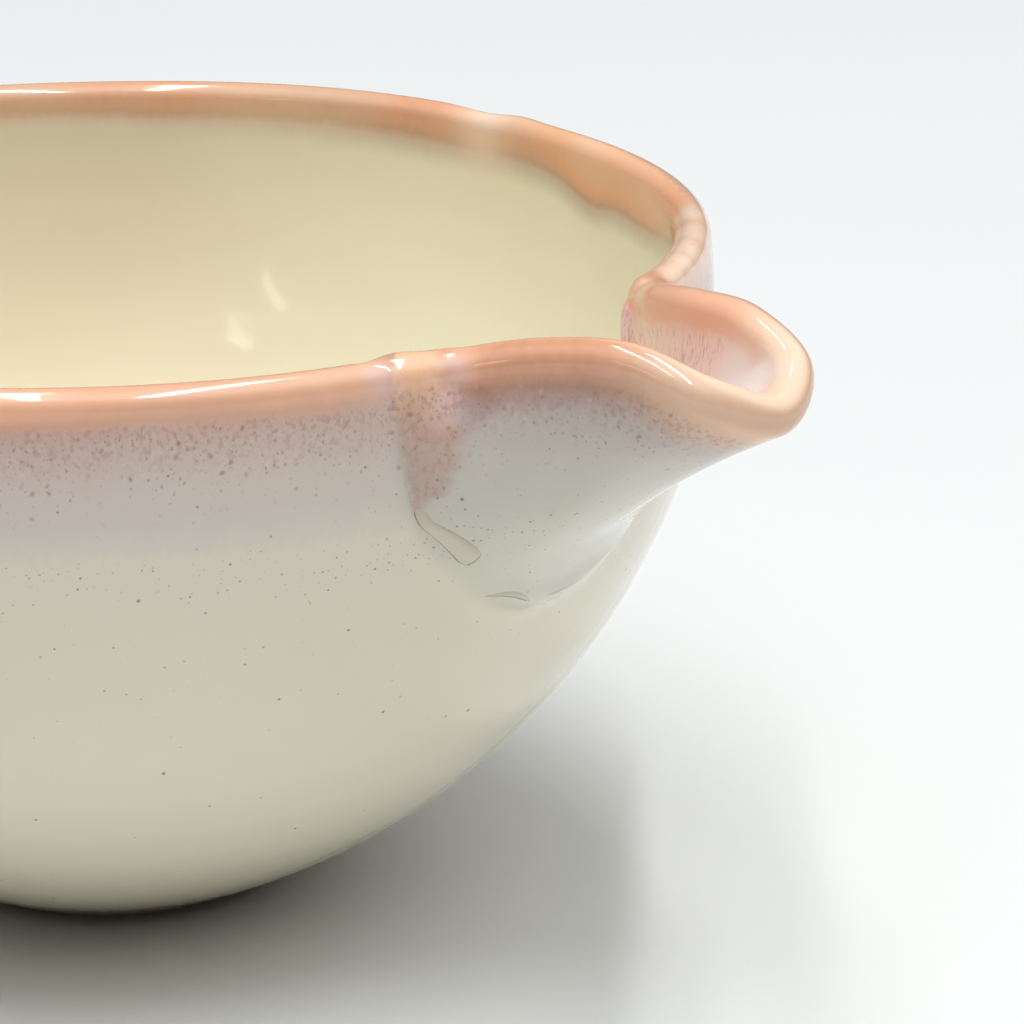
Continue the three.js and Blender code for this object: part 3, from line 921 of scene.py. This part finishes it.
# ---- the foot -------------------------------------------------------------------------------------------
def foot_object():
    rim = [(11.6, 1.2), (12.4, 1.05), (12.9, 0.62), (13.2, 0.22), (13.6, 0.0), (15.3, 0.0), (17.0, 0.0), (17.4, 0.18), (17.62, 0.6), (17.66, 1.4), (17.4, 2.4)]
    r = np.concatenate([np.linspace(0.4, 11.4, 56), [p[0] for p in rim], [12.0, 6.0]])
    z = np.concatenate([np.full(56, 1.2), [p[1] for p in rim], [2.4, 2.4]])
    turns = 150
    th = np.linspace(0, 2 * math.pi, turns, endpoint=False)
    rr, tt = np.meshgrid(r, th, indexing="ij")
    zz = np.repeat(z[:, None], turns, 1)
    spiral = 0.07 * np.sin(2 * math.pi * (rr / 1.7) - tt) * smooth(0.6, 2.5, rr) * smooth(11.6, 10.4, rr)
    tooth = 0.05 * np.sin(rr * 9.0 + 2 * np.sin(tt)) * smooth(17.2, 17.5, rr) * (zz > 0.3)
    zz = zz + np.where(zz < 1.3, spiral, 0)
    rr2 = rr + tooth
    pts = np.stack([rr2 * np.cos(tt), rr2 * np.sin(tt), zz], -1).reshape(-1, 3)
    n = len(r)
    grid = np.arange(n * turns).reshape(n, turns)
    nxt = np.roll(grid, -1, 1)
    quads = np.stack([grid[:-1], grid[1:], nxt[1:], nxt[:-1]], -1).reshape(-1, 4)
    pts = np.vstack([pts, [[0, 0, 1.2], [0, 0, 2.4]]])
    m = n * turns
    ends = np.vstack(
        [
            np.stack([np.full(turns, m), grid[0], nxt[0]], 1),
            np.stack([np.full(turns, m + 1), nxt[-1], grid[-1]], 1),
        ]
    )
    p, q, s = pts[quads[turns * 40, 0]], pts[quads[turns * 40, 1]], pts[quads[turns * 40, 2]]
    if np.cross(q - p, s - p)[2] > 0:  # the recess looks down
        quads, ends = quads[:, ::-1], ends[:, ::-1]
    return make_object("foot_ring", pts, [quads, ends])


foot_piece = foot_object()


# ---- materials ------------------------------------------------------------------------------------------
def srgb(r, g, b, k=1.0):
    """A linear colour from display values, divided by the share of the light that the place gets."""
    out = []
    for c in (r, g, b):
        c = c / 255.0
        c = c / 12.92 if c <= 0.04045 else ((c + 0.055) / 1.055) ** 2.4
        out.append(min(c / k, 0.98))
    return (*out, 1.0)


class Tree:
    def __init__(self, name):
        self.mat = bpy.data.materials.new(name)
        self.mat.use_nodes = True
        self.t = self.mat.node_tree
        self.bsdf = self.t.nodes["Principled BSDF"]
        coords = self.t.nodes.new("ShaderNodeTexCoord").outputs["Object"]
        scale = self.t.nodes.new("ShaderNodeVectorMath")
        scale.operation = "SCALE"
        scale.inputs["Scale"].default_value = 1000.0
        self.t.links.new(coords, scale.inputs[0])
        self.p = scale.outputs[0]  # millimetres

    def put(self, socket, value):
        if isinstance(value, bpy.types.NodeSocket):
            self.t.links.new(value, socket)
        else:
            socket.default_value = value

    def attr(self, name):
        n = self.t.nodes.new("ShaderNodeAttribute")
        n.attribute_name = name
        return n.outputs["Fac"]

    def math(self, op, a, b=0.0, c=0.0, clamp=False):
        n = self.t.nodes.new("ShaderNodeMath")
        n.operation = op
        n.use_clamp = clamp
        for socket, value in zip(n.inputs, (a, b, c)):
            self.put(socket, value)
        return n.outputs[0]

    def add(self, a, b):
        return self.math("ADD", a, b)

    def mul(self, a, b):
        return self.math("MULTIPLY", a, b)

    def stretch(self, x, y, z, vector=None):
        n = self.t.nodes.new("ShaderNodeVectorMath")
        n.operation = "MULTIPLY"
        self.put(n.inputs[0], vector or self.p)
        n.inputs[1].default_value = (x, y, z)
        return n.outputs[0]

    def noise(self, scale, detail=2.0, rough=0.5, vector=None, shift=0.0):
        n = self.t.nodes.new("ShaderNodeTexNoise")
        v = vector or self.p
        if shift:
            m = self.t.nodes.new("ShaderNodeVectorMath")
            m.operation = "ADD"
            self.put(m.inputs[0], v)
            m.inputs[1].default_value = (shift, shift * 0.7, shift * 1.3)
            v = m.outputs[0]
        self.put(n.inputs["Vector"], v)
        n.inputs["Scale"].default_value = scale
        n.inputs["Detail"].default_value = detail
        n.inputs["Roughness"].default_value = rough
        return n.outputs["Fac"]

    def cells(self, scale, vector=None):
        n = self.t.nodes.new("ShaderNodeTexVoronoi")
        self.put(n.inputs["Vector"], vector or self.p)
        n.inputs["Scale"].default_value = scale
        n.inputs["Randomness"].default_value = 1.0
        return n.outputs["Distance"], n.outputs["Color"]

    def warp(self, amount, scale):
        """The place, moved about by a soft noise."""
        n = self.t.nodes.new("ShaderNodeTexNoise")
        self.put(n.inputs["Vector"], self.p)
        n.inputs["Scale"].default_value = scale
        n.inputs["Detail"].default_value = 1.0
        m = self.t.nodes.new("ShaderNodeVectorMath")
        m.operation = "MULTIPLY_ADD"
        self.put(m.inputs[0], n.outputs["Color"])
        m.inputs[1].default_value = (2 * amount,) * 3
        self.put(m.inputs[2], self.p)
        return m.outputs[0]

    def dots(self, scale, small, large, vector, core):
        """Round spots of mixed sizes in their cells, full inside a share of their size, with two chance values."""
        dist, pick = self.cells(scale, vector)
        size = self.range(self.part(pick, "Green"), 0.0, 1.0, small, large)
        spot = self.range(self.math("DIVIDE", dist, size), 1.0, core)
        return spot, self.part(pick, "Red"), self.part(pick, "Blue")

    def part(self, color, which="Red"):
        n = self.t.nodes.new("ShaderNodeSeparateColor")
        self.put(n.inputs[0], color)
        return n.outputs[which]

    def range(self, x, a, b, lo=0.0, hi=1.0):
        n = self.t.nodes.new("ShaderNodeMapRange")
        n.interpolation_type = "SMOOTHSTEP"
        for key, value in (("Value", x), ("From Min", a), ("From Max", b), ("To Min", lo), ("To Max", hi)):
            self.put(n.inputs[key], value)
        return n.outputs["Result"]

    def ramp(self, x, top, stops):
        """Colours along x, which runs from 0 to top; stops are (place, colour)."""
        n = self.t.nodes.new("ShaderNodeValToRGB")
        self.put(n.inputs["Fac"], self.math("DIVIDE", x, top, clamp=True))
        e = n.color_ramp.elements
        while len(e) < len(stops):
            e.new(0.5)
        for item, (place, color) in zip(e, stops):
            item.position = place / top
        for item, (place, color) in zip(sorted(e, key=lambda i: i.position), stops):
            item.color = color
        return n.outputs["Color"]

    def mix(self, f, a, b):
        n = self.t.nodes.new("ShaderNodeMix")
        n.data_type = "RGBA"
        for socket, value in ((n.inputs[0], f), (n.inputs[6], a), (n.inputs[7], b)):
            self.put(socket, value)
        return n.outputs[2]

    def bump(self, height, strength, distance):
        n = self.t.nodes.new("ShaderNodeBump")
        self.put(n.inputs["Height"], height)
        n.inputs["Strength"].default_value = strength
        n.inputs["Distance"].default_value = distance
        self.put(self.bsdf.inputs["Normal"], n.outputs["Normal"])


OUT_K, IN_K = 0.73, 0.78


def glaze(name):
    """The bowl's glaze: peach where it is thin over the lip, mauve and speckled below, cream on the body, pink in the
    channel of the spout."""
    m = Tree(name)
    lip, part, own, run, pale, sag, painted_glint, gap = (m.attr(k) for k in ("lip", "part", "own", "run", "pale", "sag", "painted_glint", "gap"))
    wide = m.noise(0.055, 2)
    mid = m.noise(0.24, 3, 0.55)
    fine = m.noise(1.0, 2, 0.5, m.stretch(1, 1, 0.55))
    grain = m.noise(2.6, 2, 0.6)
    rough = m.add(m.mul(m.math("SUBTRACT", mid, 0.5), 1.5), m.mul(m.math("SUBTRACT", fine, 0.5), 1.3))
    ragged = m.mul(rough, m.range(lip, -0.6, 1.6, 0.0, 0.85))
    place = m.t.nodes.new("ShaderNodeSeparateXYZ")
    m.put(place.inputs[0], m.p)
    down = m.math("SUBTRACT", RIM_Z, place.outputs["Z"])
    tip = m.range(place.outputs["X"], 63.0, 73.0)

    # Outside of the body: lilac-grey above and cream below as the glaze is, with the lowest stops made lighter still as
    # painted light.
    d = m.add(m.math("SUBTRACT", lip, m.mul(sag, 0.4)), ragged)
    k = OUT_K
    body = m.ramp(m.add(d, 1.0), 42.0, [
        (0.0, srgb(249, 197, 163, 0.95)),
        (0.7, srgb(237, 175, 141, 0.93)),
        (1.1, srgb(208, 155, 127, 0.90)),
        (1.38, srgb(198, 151, 129, 0.83)),
        (1.75, srgb(184, 150, 137, 0.80)),
        (3.3, srgb(182, 160, 151, 0.78)),
        (6.7, srgb(187, 174, 164, 0.77)),
        (11.0, srgb(190, 181, 170, 0.75)),
        (12.4, srgb(192, 184, 172, k)),
        (13.7, srgb(199, 192, 174, k)),
        (27.0, srgb(203, 197, 177, 0.73)),
        (42.0, srgb(204, 198, 178, 0.69)),
    ])
    tint = m.range(m.noise(0.03, 2, shift=40), 0.42, 0.66)
    body = m.mix(m.mul(tint, 0.2), body, srgb(200, 196, 178, k))
    # Outside of the spout.
    ds = m.add(lip, m.add(m.mul(ragged, m.range(lip, 0.0, 3.0, 0.4, 1.2)), m.mul(m.math("SUBTRACT", wide, 0.5), m.range(lip, 0.0, 5.0, 0.0, 2.0))))
    horn = m.ramp(m.add(ds, 1.0), 29.0, [
        (0.0, srgb(250, 198, 165, 0.96)),
        (0.95, srgb(244, 184, 150, 0.94)),
        (1.22, srgb(202, 146, 115, 0.88)),
        (1.7, srgb(174, 129, 103, 0.87)),
        (2.7, srgb(167, 139, 130, 0.80)),
        (4.2, srgb(174, 161, 154, 0.79)),
        (8.0, srgb(180, 174, 164, 0.77)),
        (13.0, srgb(186, 182, 169, 0.79)),
        (19.0, srgb(198, 195, 179, 0.82)),
        (29.0, srgb(206, 204, 189, 0.83)),
    ])
    horn = m.mix(m.mul(m.mul(tip, m.range(lip, 4.0, 0.5)), 0.6), horn, srgb(214, 187, 161, 0.80))
    outside = m.mix(own, body, horn)
    # The run beside the seam.
    flow = m.ramp(m.add(m.add(down, 3.0), m.mul(rough, 0.8)), 20.0, [
        (0.0, srgb(247, 198, 162, 0.93)),
        (2.6, srgb(233, 185, 150, 0.88)),
        (4.6, srgb(198, 164, 138, 0.84)),
        (7.5, srgb(181, 154, 140, 0.84)),
        (12.0, srgb(180, 158, 146, 0.84)),
        (15.5, srgb(175, 156, 141, 0.84)),
        (20.0, srgb(176, 163, 148, 0.84)),
    ])
    outside = m.mix(m.mul(run, m.range(fine, 0.2, 0.45, 0.75, 1.0)), outside, flow)
    beyond = m.range(place.outputs["Y"], 4.0, 14.0)
    pale_tone = m.mix(beyond, srgb(218, 190, 188, 0.86), srgb(252, 222, 198, 0.95))
    outside = m.mix(m.mul(pale, m.add(m.range(fine, 0.3, 0.6, 0.3, 0.6), m.mul(beyond, 0.3))), outside, pale_tone)
    # Soft spots of colour in the glaze: dense under the peach, few lower down.
    spot_d = m.mix(own, d, ds)
    over = m.math("MAXIMUM", m.range(spot_d, 0.1, 0.9), m.mul(run, m.range(down, 0.0, 3.0)))
    blotch = m.mul(m.range(m.noise(1.7, 2, 0.6, m.stretch(1, 1, 0.75), shift=13), 0.48, 0.66), m.math("MAXIMUM", m.range(spot_d, 6.0, 1.0), m.mul(run, 0.7)))
    outside = m.mix(m.mul(m.mul(blotch, over), 0.5), outside, srgb(158, 126, 119, 0.8))
    drift = m.range(m.noise(0.12, 2, shift=21), 0.35, 0.65, 0.65, 1.0)
    soft = m.warp(0.35, 0.9)
    spot, chance, depth = m.dots(1.15, 0.2, 0.46, m.stretch(1, 1, 0.85, soft), 0.0)
    many = m.mul(m.range(spot_d, 11.0, 1.0), drift)
    spot = m.mul(m.mul(spot, m.range(m.math("SUBTRACT", many, chance), 0.0, 0.12)), over)
    outside = m.mix(m.mul(spot, m.range(depth, 0.0, 1.0, 0.3, 0.8)), outside, srgb(140, 109, 103, 0.8))
    tiny, chance, depth = m.dots(2.2, 0.24, 0.5, m.stretch(1, 1, 0.8, soft), 0.05)
    many = m.math("MAXIMUM", m.range(spot_d, 10.0, 1.0), run)
    tiny = m.mul(m.mul(tiny, m.range(m.math("SUBTRACT", many, chance), 0.0, 0.12)), over)
    outside = m.mix(m.mul(tiny, m.range(depth, 0.0, 1.0, 0.25, 0.75)), outside, srgb(142, 112, 105, 0.8))
    milk, chance, depth = m.dots(1.4, 0.3, 0.5, m.stretch(1, 1, 0.7, m.warp(0.4, 1.2)), 0.0)
    milk = m.mul(m.mul(milk, m.range(chance, 0.62, 0.5)), m.mul(over, m.range(spot_d, 7.5, 3.0)))
    outside = m.mix(m.mul(milk, 0.2), outside, srgb(212, 192, 184, 0.78))

    # Inside of the body, and the channel of the spout.
    k = IN_K
    di = m.add(m.math("SUBTRACT", lip, sag), m.mul(rough, 0.3))
    liner = m.ramp(m.add(di, 3.0), 83.0, [
        (0.0, srgb(249, 198, 162, 0.95)),
        (2.0, srgb(238, 174, 133, 0.94)),
        (2.8, srgb(216, 163, 130, 0.92)),
        (3.3, srgb(195, 156, 131, 0.92)),
        (3.9, srgb(202, 181, 163, 0.86)),
        (4.7, srgb(198, 192, 172, 0.81)),
        (12.0, srgb(203, 195, 173, 0.80)),
        (26.0, srgb(212, 202, 177, 0.83)),
        (48.0, srgb(225, 213, 188, 0.88)),
        (83.0, srgb(229, 218, 194, 0.88)),
    ])
    # Painted light: below the lip, the inside is made lighter towards its right side, where light from the left falls
    # on it.
    across = m.t.nodes.new("ShaderNodeVectorMath")
    across.operation = "DOT_PRODUCT"
    m.put(across.inputs[0], m.p)
    across.inputs[1].default_value = (0.68, 0.73, 0.0)
    liner = m.mix(m.mul(m.range(across.outputs["Value"], -12.0, 44.0), m.range(di, 1.2, 3.5, 0.0, 0.75)), liner, srgb(235, 229, 203, 0.78))
    liner = m.mix(m.mul(m.range(m.noise(0.04, 2, shift=70), 0.4, 0.65), 0.2), liner, srgb(213, 208, 180, 0.8))
    lean = m.t.nodes.new("ShaderNodeMapping")
    m.put(lean.inputs["Vector"], m.p)
    lean.inputs["Rotation"].default_value = (0.0, 0.5, 0.0)
    lean.inputs["Scale"].default_value = (1.0, 1.0, 0.22)
    streak = m.noise(3.4, 2, 0.6, lean.outputs[0], shift=5)
    dc = m.add(lip, m.mul(ragged, 0.8))
    channel = m.ramp(m.add(dc, 1.0), 19.0, [
        (0.0, srgb(250, 212, 182, 1.0)),
        (0.9, srgb(251, 206, 172, 0.95)),
        (1.12, srgb(255, 194, 161, 0.98)),
        (1.32, srgb(255, 190, 164, 0.97)),
        (1.6, srgb(255, 208, 194, 0.96)),
        (2.1, srgb(255, 215, 206, 0.96)),
        (4.0, srgb(255, 218, 212, 0.96)),
        (10.0, srgb(255, 219, 214, 0.96)),
        (19.0, srgb(255, 222, 216, 0.96)),
    ])
    channel = m.mix(m.mul(m.mul(tip, m.range(lip, 1.6, 0.0)), 0.7), channel, srgb(252, 226, 196, 1.05))
    lines = m.mul(m.range(streak, 0.5, 0.64), m.mul(m.range(dc, 0.35, 1.0), m.range(painted_glint, 0.8, 0.2)))
    channel = m.mix(m.mul(lines, 0.6), channel, srgb(208, 148, 146, 0.92))
    white = m.mul(m.range(streak, 0.46, 0.34), m.range(dc, 0.6, 1.8))
    channel = m.mix(m.mul(white, 0.5), channel, srgb(255, 224, 219, 0.96))
    # Painted highlight: near white on the channel's floor near the tip, made ragged by the streaks.
    channel = m.mix(m.mul(m.range(m.add(painted_glint, m.mul(m.math("SUBTRACT", streak, 0.5), 0.4)), 0.05, 0.95), 0.85), channel, srgb(255, 240, 234, 0.98))
    inside = m.mix(m.math("MAXIMUM", own, m.range(gap, 4.0, 1.0)), liner, channel)
    inside = m.mix(m.mul(pale, m.range(place.outputs["Y"], 4.0, 14.0, 0.75, 0.92)), inside, srgb(251, 226, 206, 0.97))

    color = m.mix(m.range(part, -0.25, 0.25), inside, outside)
    # Pin holes.
    out = m.range(part, 0.0, 0.3)
    row = m.add(lip, m.mul(m.math("SUBTRACT", mid, 0.5), 5.0))
    dense = m.add(m.mul(m.range(row, 12.2, 13.2), m.range(row, 18.5, 15.8, 0.0, 0.65)), m.mul(m.range(row, 3.0, 6.0), m.range(row, 40.0, 18.0, 0.02, 0.13)))
    dense = m.add(dense, m.mul(m.range(m.math("ABSOLUTE", gap), 9.0, 2.0), m.mul(m.range(row, 2.0, 5.0), m.range(row, 22.0, 14.0, 0.0, 0.32))))
    hole, chance, depth = m.dots(1.6, 0.12, 0.3, m.p, 0.35)
    hole = m.mul(hole, m.mul(m.range(m.math("SUBTRACT", dense, chance), 0.0, 0.05), m.range(depth, 0.0, 1.0, 0.35, 0.95)))
    pit, chance, depth = m.dots(0.42, 0.06, 0.12, m.p, 0.35)
    pit = m.mul(pit, m.mul(m.range(m.math("SUBTRACT", m.add(dense, 0.16), chance), 0.0, 0.05), m.range(row, 5.0, 8.0)))
    holes = m.mul(m.math("MAXIMUM", hole, pit), out)
    color = m.mix(m.mul(holes, 0.8), color, srgb(112, 103, 95))
    m.put(m.bsdf.inputs["Base Color"], color)
    m.put(m.bsdf.inputs["Roughness"], m.add(m.mul(grain, 0.03), m.range(mid, 0.3, 0.7, 0.07, 0.11)))
    m.bsdf.inputs["IOR"].default_value = 1.5
    m.bsdf.inputs["Coat Weight"].default_value = 0.25
    m.bsdf.inputs["Coat Roughness"].default_value = 0.03
    height = m.math("SUBTRACT", m.add(m.mul(m.noise(0.5, 2, 0.5, shift=3), 0.035), m.mul(m.noise(1.6, 1, 0.5, shift=8), 0.006)), m.mul(holes, 0.05))
    m.bump(height, 0.4, 0.001)
    return m.mat


def raised(name, start, full, line_shade):
    """The thick clear flow in the seam, with painted shade: a thin dark line of painted shadow at its lower edge and
    its end, and a soft painted shade at the upper one.
    """
    m = Tree(name)
    edge, way = m.attr("edge"), m.attr("way")
    rim = m.add(edge, m.mul(m.math("SUBTRACT", m.noise(0.9, 2), 0.5), 0.12))
    # Painted shadow: a thin dark line along the lower edge and at the end.
    low = m.mul(m.range(rim, start, full), m.range(way, 0.0, 0.12))
    # Painted shade: a soft darkening along the upper edge.
    top = m.range(rim, 0.25, 0.95)
    end = m.range(way, 0.93, 0.975)
    body = m.mix(m.range(way, 0.0, 0.5), srgb(176, 160, 145, OUT_K), srgb(187, 181, 163, OUT_K))
    body = m.mix(m.mul(m.noise(0.5, 2), 0.25), body, srgb(179, 172, 154, OUT_K))
    body = m.mix(m.mul(top, 0.4), body, srgb(164, 156, 139, OUT_K))
    body = m.mix(m.mul(m.math("MAXIMUM", low, end), line_shade), body, srgb(98, 91, 76, OUT_K))
    m.put(m.bsdf.inputs["Base Color"], body)
    m.put(m.bsdf.inputs["Roughness"], m.range(m.noise(0.7, 2), 0.3, 0.7, 0.07, 0.12))
    m.bsdf.inputs["Coat Weight"].default_value = 0.3
    m.bsdf.inputs["Coat Roughness"].default_value = 0.03
    return m.mat


def clay(name):
    """Fine buff stoneware with grog."""
    m = Tree(name)
    speck = m.noise(2.2, 3, 0.6)
    wash = m.noise(0.12, 3)
    color = m.mix(m.range(wash, 0.3, 0.7), srgb(196, 176, 148), srgb(208, 192, 166))
    color = m.mix(m.mul(m.range(speck, 0.6, 0.72), 0.6), color, srgb(150, 128, 104))
    color = m.mix(m.mul(m.range(m.noise(3.1, 2, shift=9), 0.64, 0.72), 0.5), color, srgb(226, 214, 192))
    m.put(m.bsdf.inputs["Base Color"], color)
    m.put(m.bsdf.inputs["Roughness"], m.range(speck, 0.3, 0.7, 0.72, 0.9))
    m.bump(m.add(m.mul(speck, 0.06), m.mul(m.noise(6.0, 2, shift=4), 0.03)), 0.6, 0.001)
    return m.mat


clay_look = clay("raw_clay")
for node in ("bowl_wall", "spout"):
    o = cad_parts[node]
    o.data.materials.clear()
    o.data.materials.append(clay_look)
foot_piece.data.materials.append(clay("turned_clay"))
for o, name, node, slot in (
    (outer_piece, "glaze_outer", "outer_glaze", "outer_glaze"),
    (liner_piece, "glaze_liner", "liner_glaze", "liner_glaze"),
    (rim_piece, "glaze_rim", "rim_glaze", "peach_glaze"),
    (spout_piece, "glaze_spout", "spout_glaze", "peach_glaze"),
    (seam_piece, "glaze_seam", "seam_coil", "outer_glaze"),
):
    o.data.materials.append(glaze(name))
    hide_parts(node)
    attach(o, "root")
for o, look in (
    (drip_piece, raised("glaze_flow", -0.70, -0.90, 0.9)),
    (lap_piece, raised("glaze_lap", -0.15, -0.65, 0.85)),
    (thread_piece, raised("glaze_thread", -0.2, -0.8, 0.3)),
):
    o.data.materials.append(look)
    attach(o, "root")
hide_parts("glaze_run")
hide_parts("foot")
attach(foot_piece, "root")

# ---- camera ---------------------------------------------------------------------------------------------
cam_data = bpy.data.cameras.new("photo_camera")
cam_data.sensor_width = 36.0
cam_data.lens = 36.0 * FOCAL / 1024.0
cam_data.clip_start = 0.02
cam = bpy.data.objects.new("photo_camera", cam_data)
bpy.context.scene.collection.objects.link(cam)
cam.location = Vector(to_row(eye))
cam.rotation_euler = Vector(aim).to_track_quat("-Z", "Y").to_euler()
bpy.context.scene.camera = cam

# ---- setting --------------------------------------------------------------------------------------------
floor_mesh = bpy.data.meshes.new("table")
floor_mesh.from_pydata([(-4, -4, 0), (4, -4, 0), (4, 4, 0), (-4, 4, 0)], [], [(0, 1, 2, 3)])
table = bpy.data.objects.new("table", floor_mesh)
bpy.context.scene.collection.objects.link(table)
white = Tree("table_white")
white.put(white.bsdf.inputs["Base Color"], white.mix(white.noise(0.01, 2), (0.79, 0.803, 0.80, 1), (0.803, 0.816, 0.813, 1)))
white.bsdf.inputs["Roughness"].default_value = 0.6
floor_mesh.materials.append(white.mat)

back = np.array([right[1], -right[0], 0.0])  # towards the camera
world = bpy.data.worlds.new("studio")
bpy.context.scene.world = world
world.use_nodes = True
wt = world.node_tree
bg = wt.nodes["Background"]
bg.inputs["Color"].default_value = (0.985, 1.0, 1.01, 1)
sky = wt.nodes.new("ShaderNodeTexCoord").outputs["Generated"]
around = np.linspace(0, math.radians(36), 600)
fall = smooth(math.cos(math.radians(36)), math.cos(math.radians(6)), np.cos(around))
spread = float((fall * np.cos(around) * 2 * math.pi * np.sin(around)).sum() * (around[1] - around[0]))
glow = None
# Soft light of the room: turn from the camera to the right and height in degrees, and how much.
for turn, rise, weight in ((60, 64, 0.16), (135, 38, 0.138), (300, 64, 0.16), (0, 88, 0.072), (90, 38, 0.037), (120, 64, 0.035), (0, 60, 0.125)):
    a, e = math.radians(turn), math.radians(rise)
    toward = (right * math.sin(a) + back * math.cos(a)) * math.cos(e) + np.array([0, 0, math.sin(e)])
    dot = wt.nodes.new("ShaderNodeVectorMath")
    dot.operation = "DOT_PRODUCT"
    wt.links.new(sky, dot.inputs[0])
    dot.inputs[1].default_value = toward
    part_of = wt.nodes.new("ShaderNodeMapRange")
    part_of.interpolation_type = "SMOOTHSTEP"
    wt.links.new(dot.outputs["Value"], part_of.inputs["Value"])
    part_of.inputs["From Min"].default_value = math.cos(math.radians(36))
    part_of.inputs["From Max"].default_value = math.cos(math.radians(6))
    part_of.inputs["To Max"].default_value = math.pi * weight / spread
    total = wt.nodes.new("ShaderNodeMath")
    total.operation = "ADD"
    wt.links.new(part_of.outputs["Result"], total.inputs[0])
    if glow is None:
        total.inputs[1].default_value = 0.05
    else:
        wt.links.new(glow, total.inputs[1])
    glow = total.outputs[0]
wt.links.new(glow, bg.inputs["Strength"])
HIGH = 1.3
lip_middle = to_row([0, 0, RIM_Z])


def tube(name, r, far, near, wide, power):
    """A long lamp overhead that runs in the direction of view: its place right of the bowl, its far and near ends and
    its width, in shares of its height over the lip."""
    data = bpy.data.lights.new(name, "AREA")
    data.shape = "RECTANGLE"
    data.size, data.size_y, data.energy = wide * HIGH, (near - far) * HIGH, power
    o = bpy.data.objects.new(name, data)
    bpy.context.scene.collection.objects.link(o)
    o.location = Vector(lip_middle + right * r * HIGH + back * 0.5 * (near + far) * HIGH + np.array([0, 0, HIGH]))
    o.rotation_euler = (0, 0, math.atan2(-back[0], back[1]))
    return o


tube("tube_a", 0.15, -0.45, 0.6, 0.06, 8.3)
tube("tube_b", -0.15, -0.45, 0.6, 0.06, 5.0)


def panel(name, first, last, wide, power):
    """A thin lamp in front and to the left that shows in the glaze of the inside: the directions of its two ends to the
    right, to the camera and up."""
    ends = [(right * r + back * t + np.array([0, 0, u])) * HIGH for r, t, u in (first, last)]
    middle, length = 0.5 * (ends[0] + ends[1]), np.linalg.norm(ends[1] - ends[0])
    z = unit(middle)
    y = ends[1] - ends[0]
    y = unit(y - z * (y @ z))
    x = np.cross(y, z)
    data = bpy.data.lights.new(name, "AREA")
    data.shape = "RECTANGLE"
    data.size, data.size_y, data.energy = wide, length, power
    o = bpy.data.objects.new(name, data)
    bpy.context.scene.collection.objects.link(o)
    o.location = Vector(lip_middle + middle)
    o.rotation_euler = Matrix(np.stack([x, y, z], 1).tolist()).to_euler()
    return o


panel("glint_a", (-0.512, 0.757, 0.283), (-0.557, 0.652, 0.422), 0.045, 0.12)
panel("glint_b", (-0.386, 0.73, 0.479), (-0.468, 0.67, 0.494), 0.036, 0.06)

bpy.context.scene.view_settings.view_transform = "Standard"
bpy.context.view_layer.update()
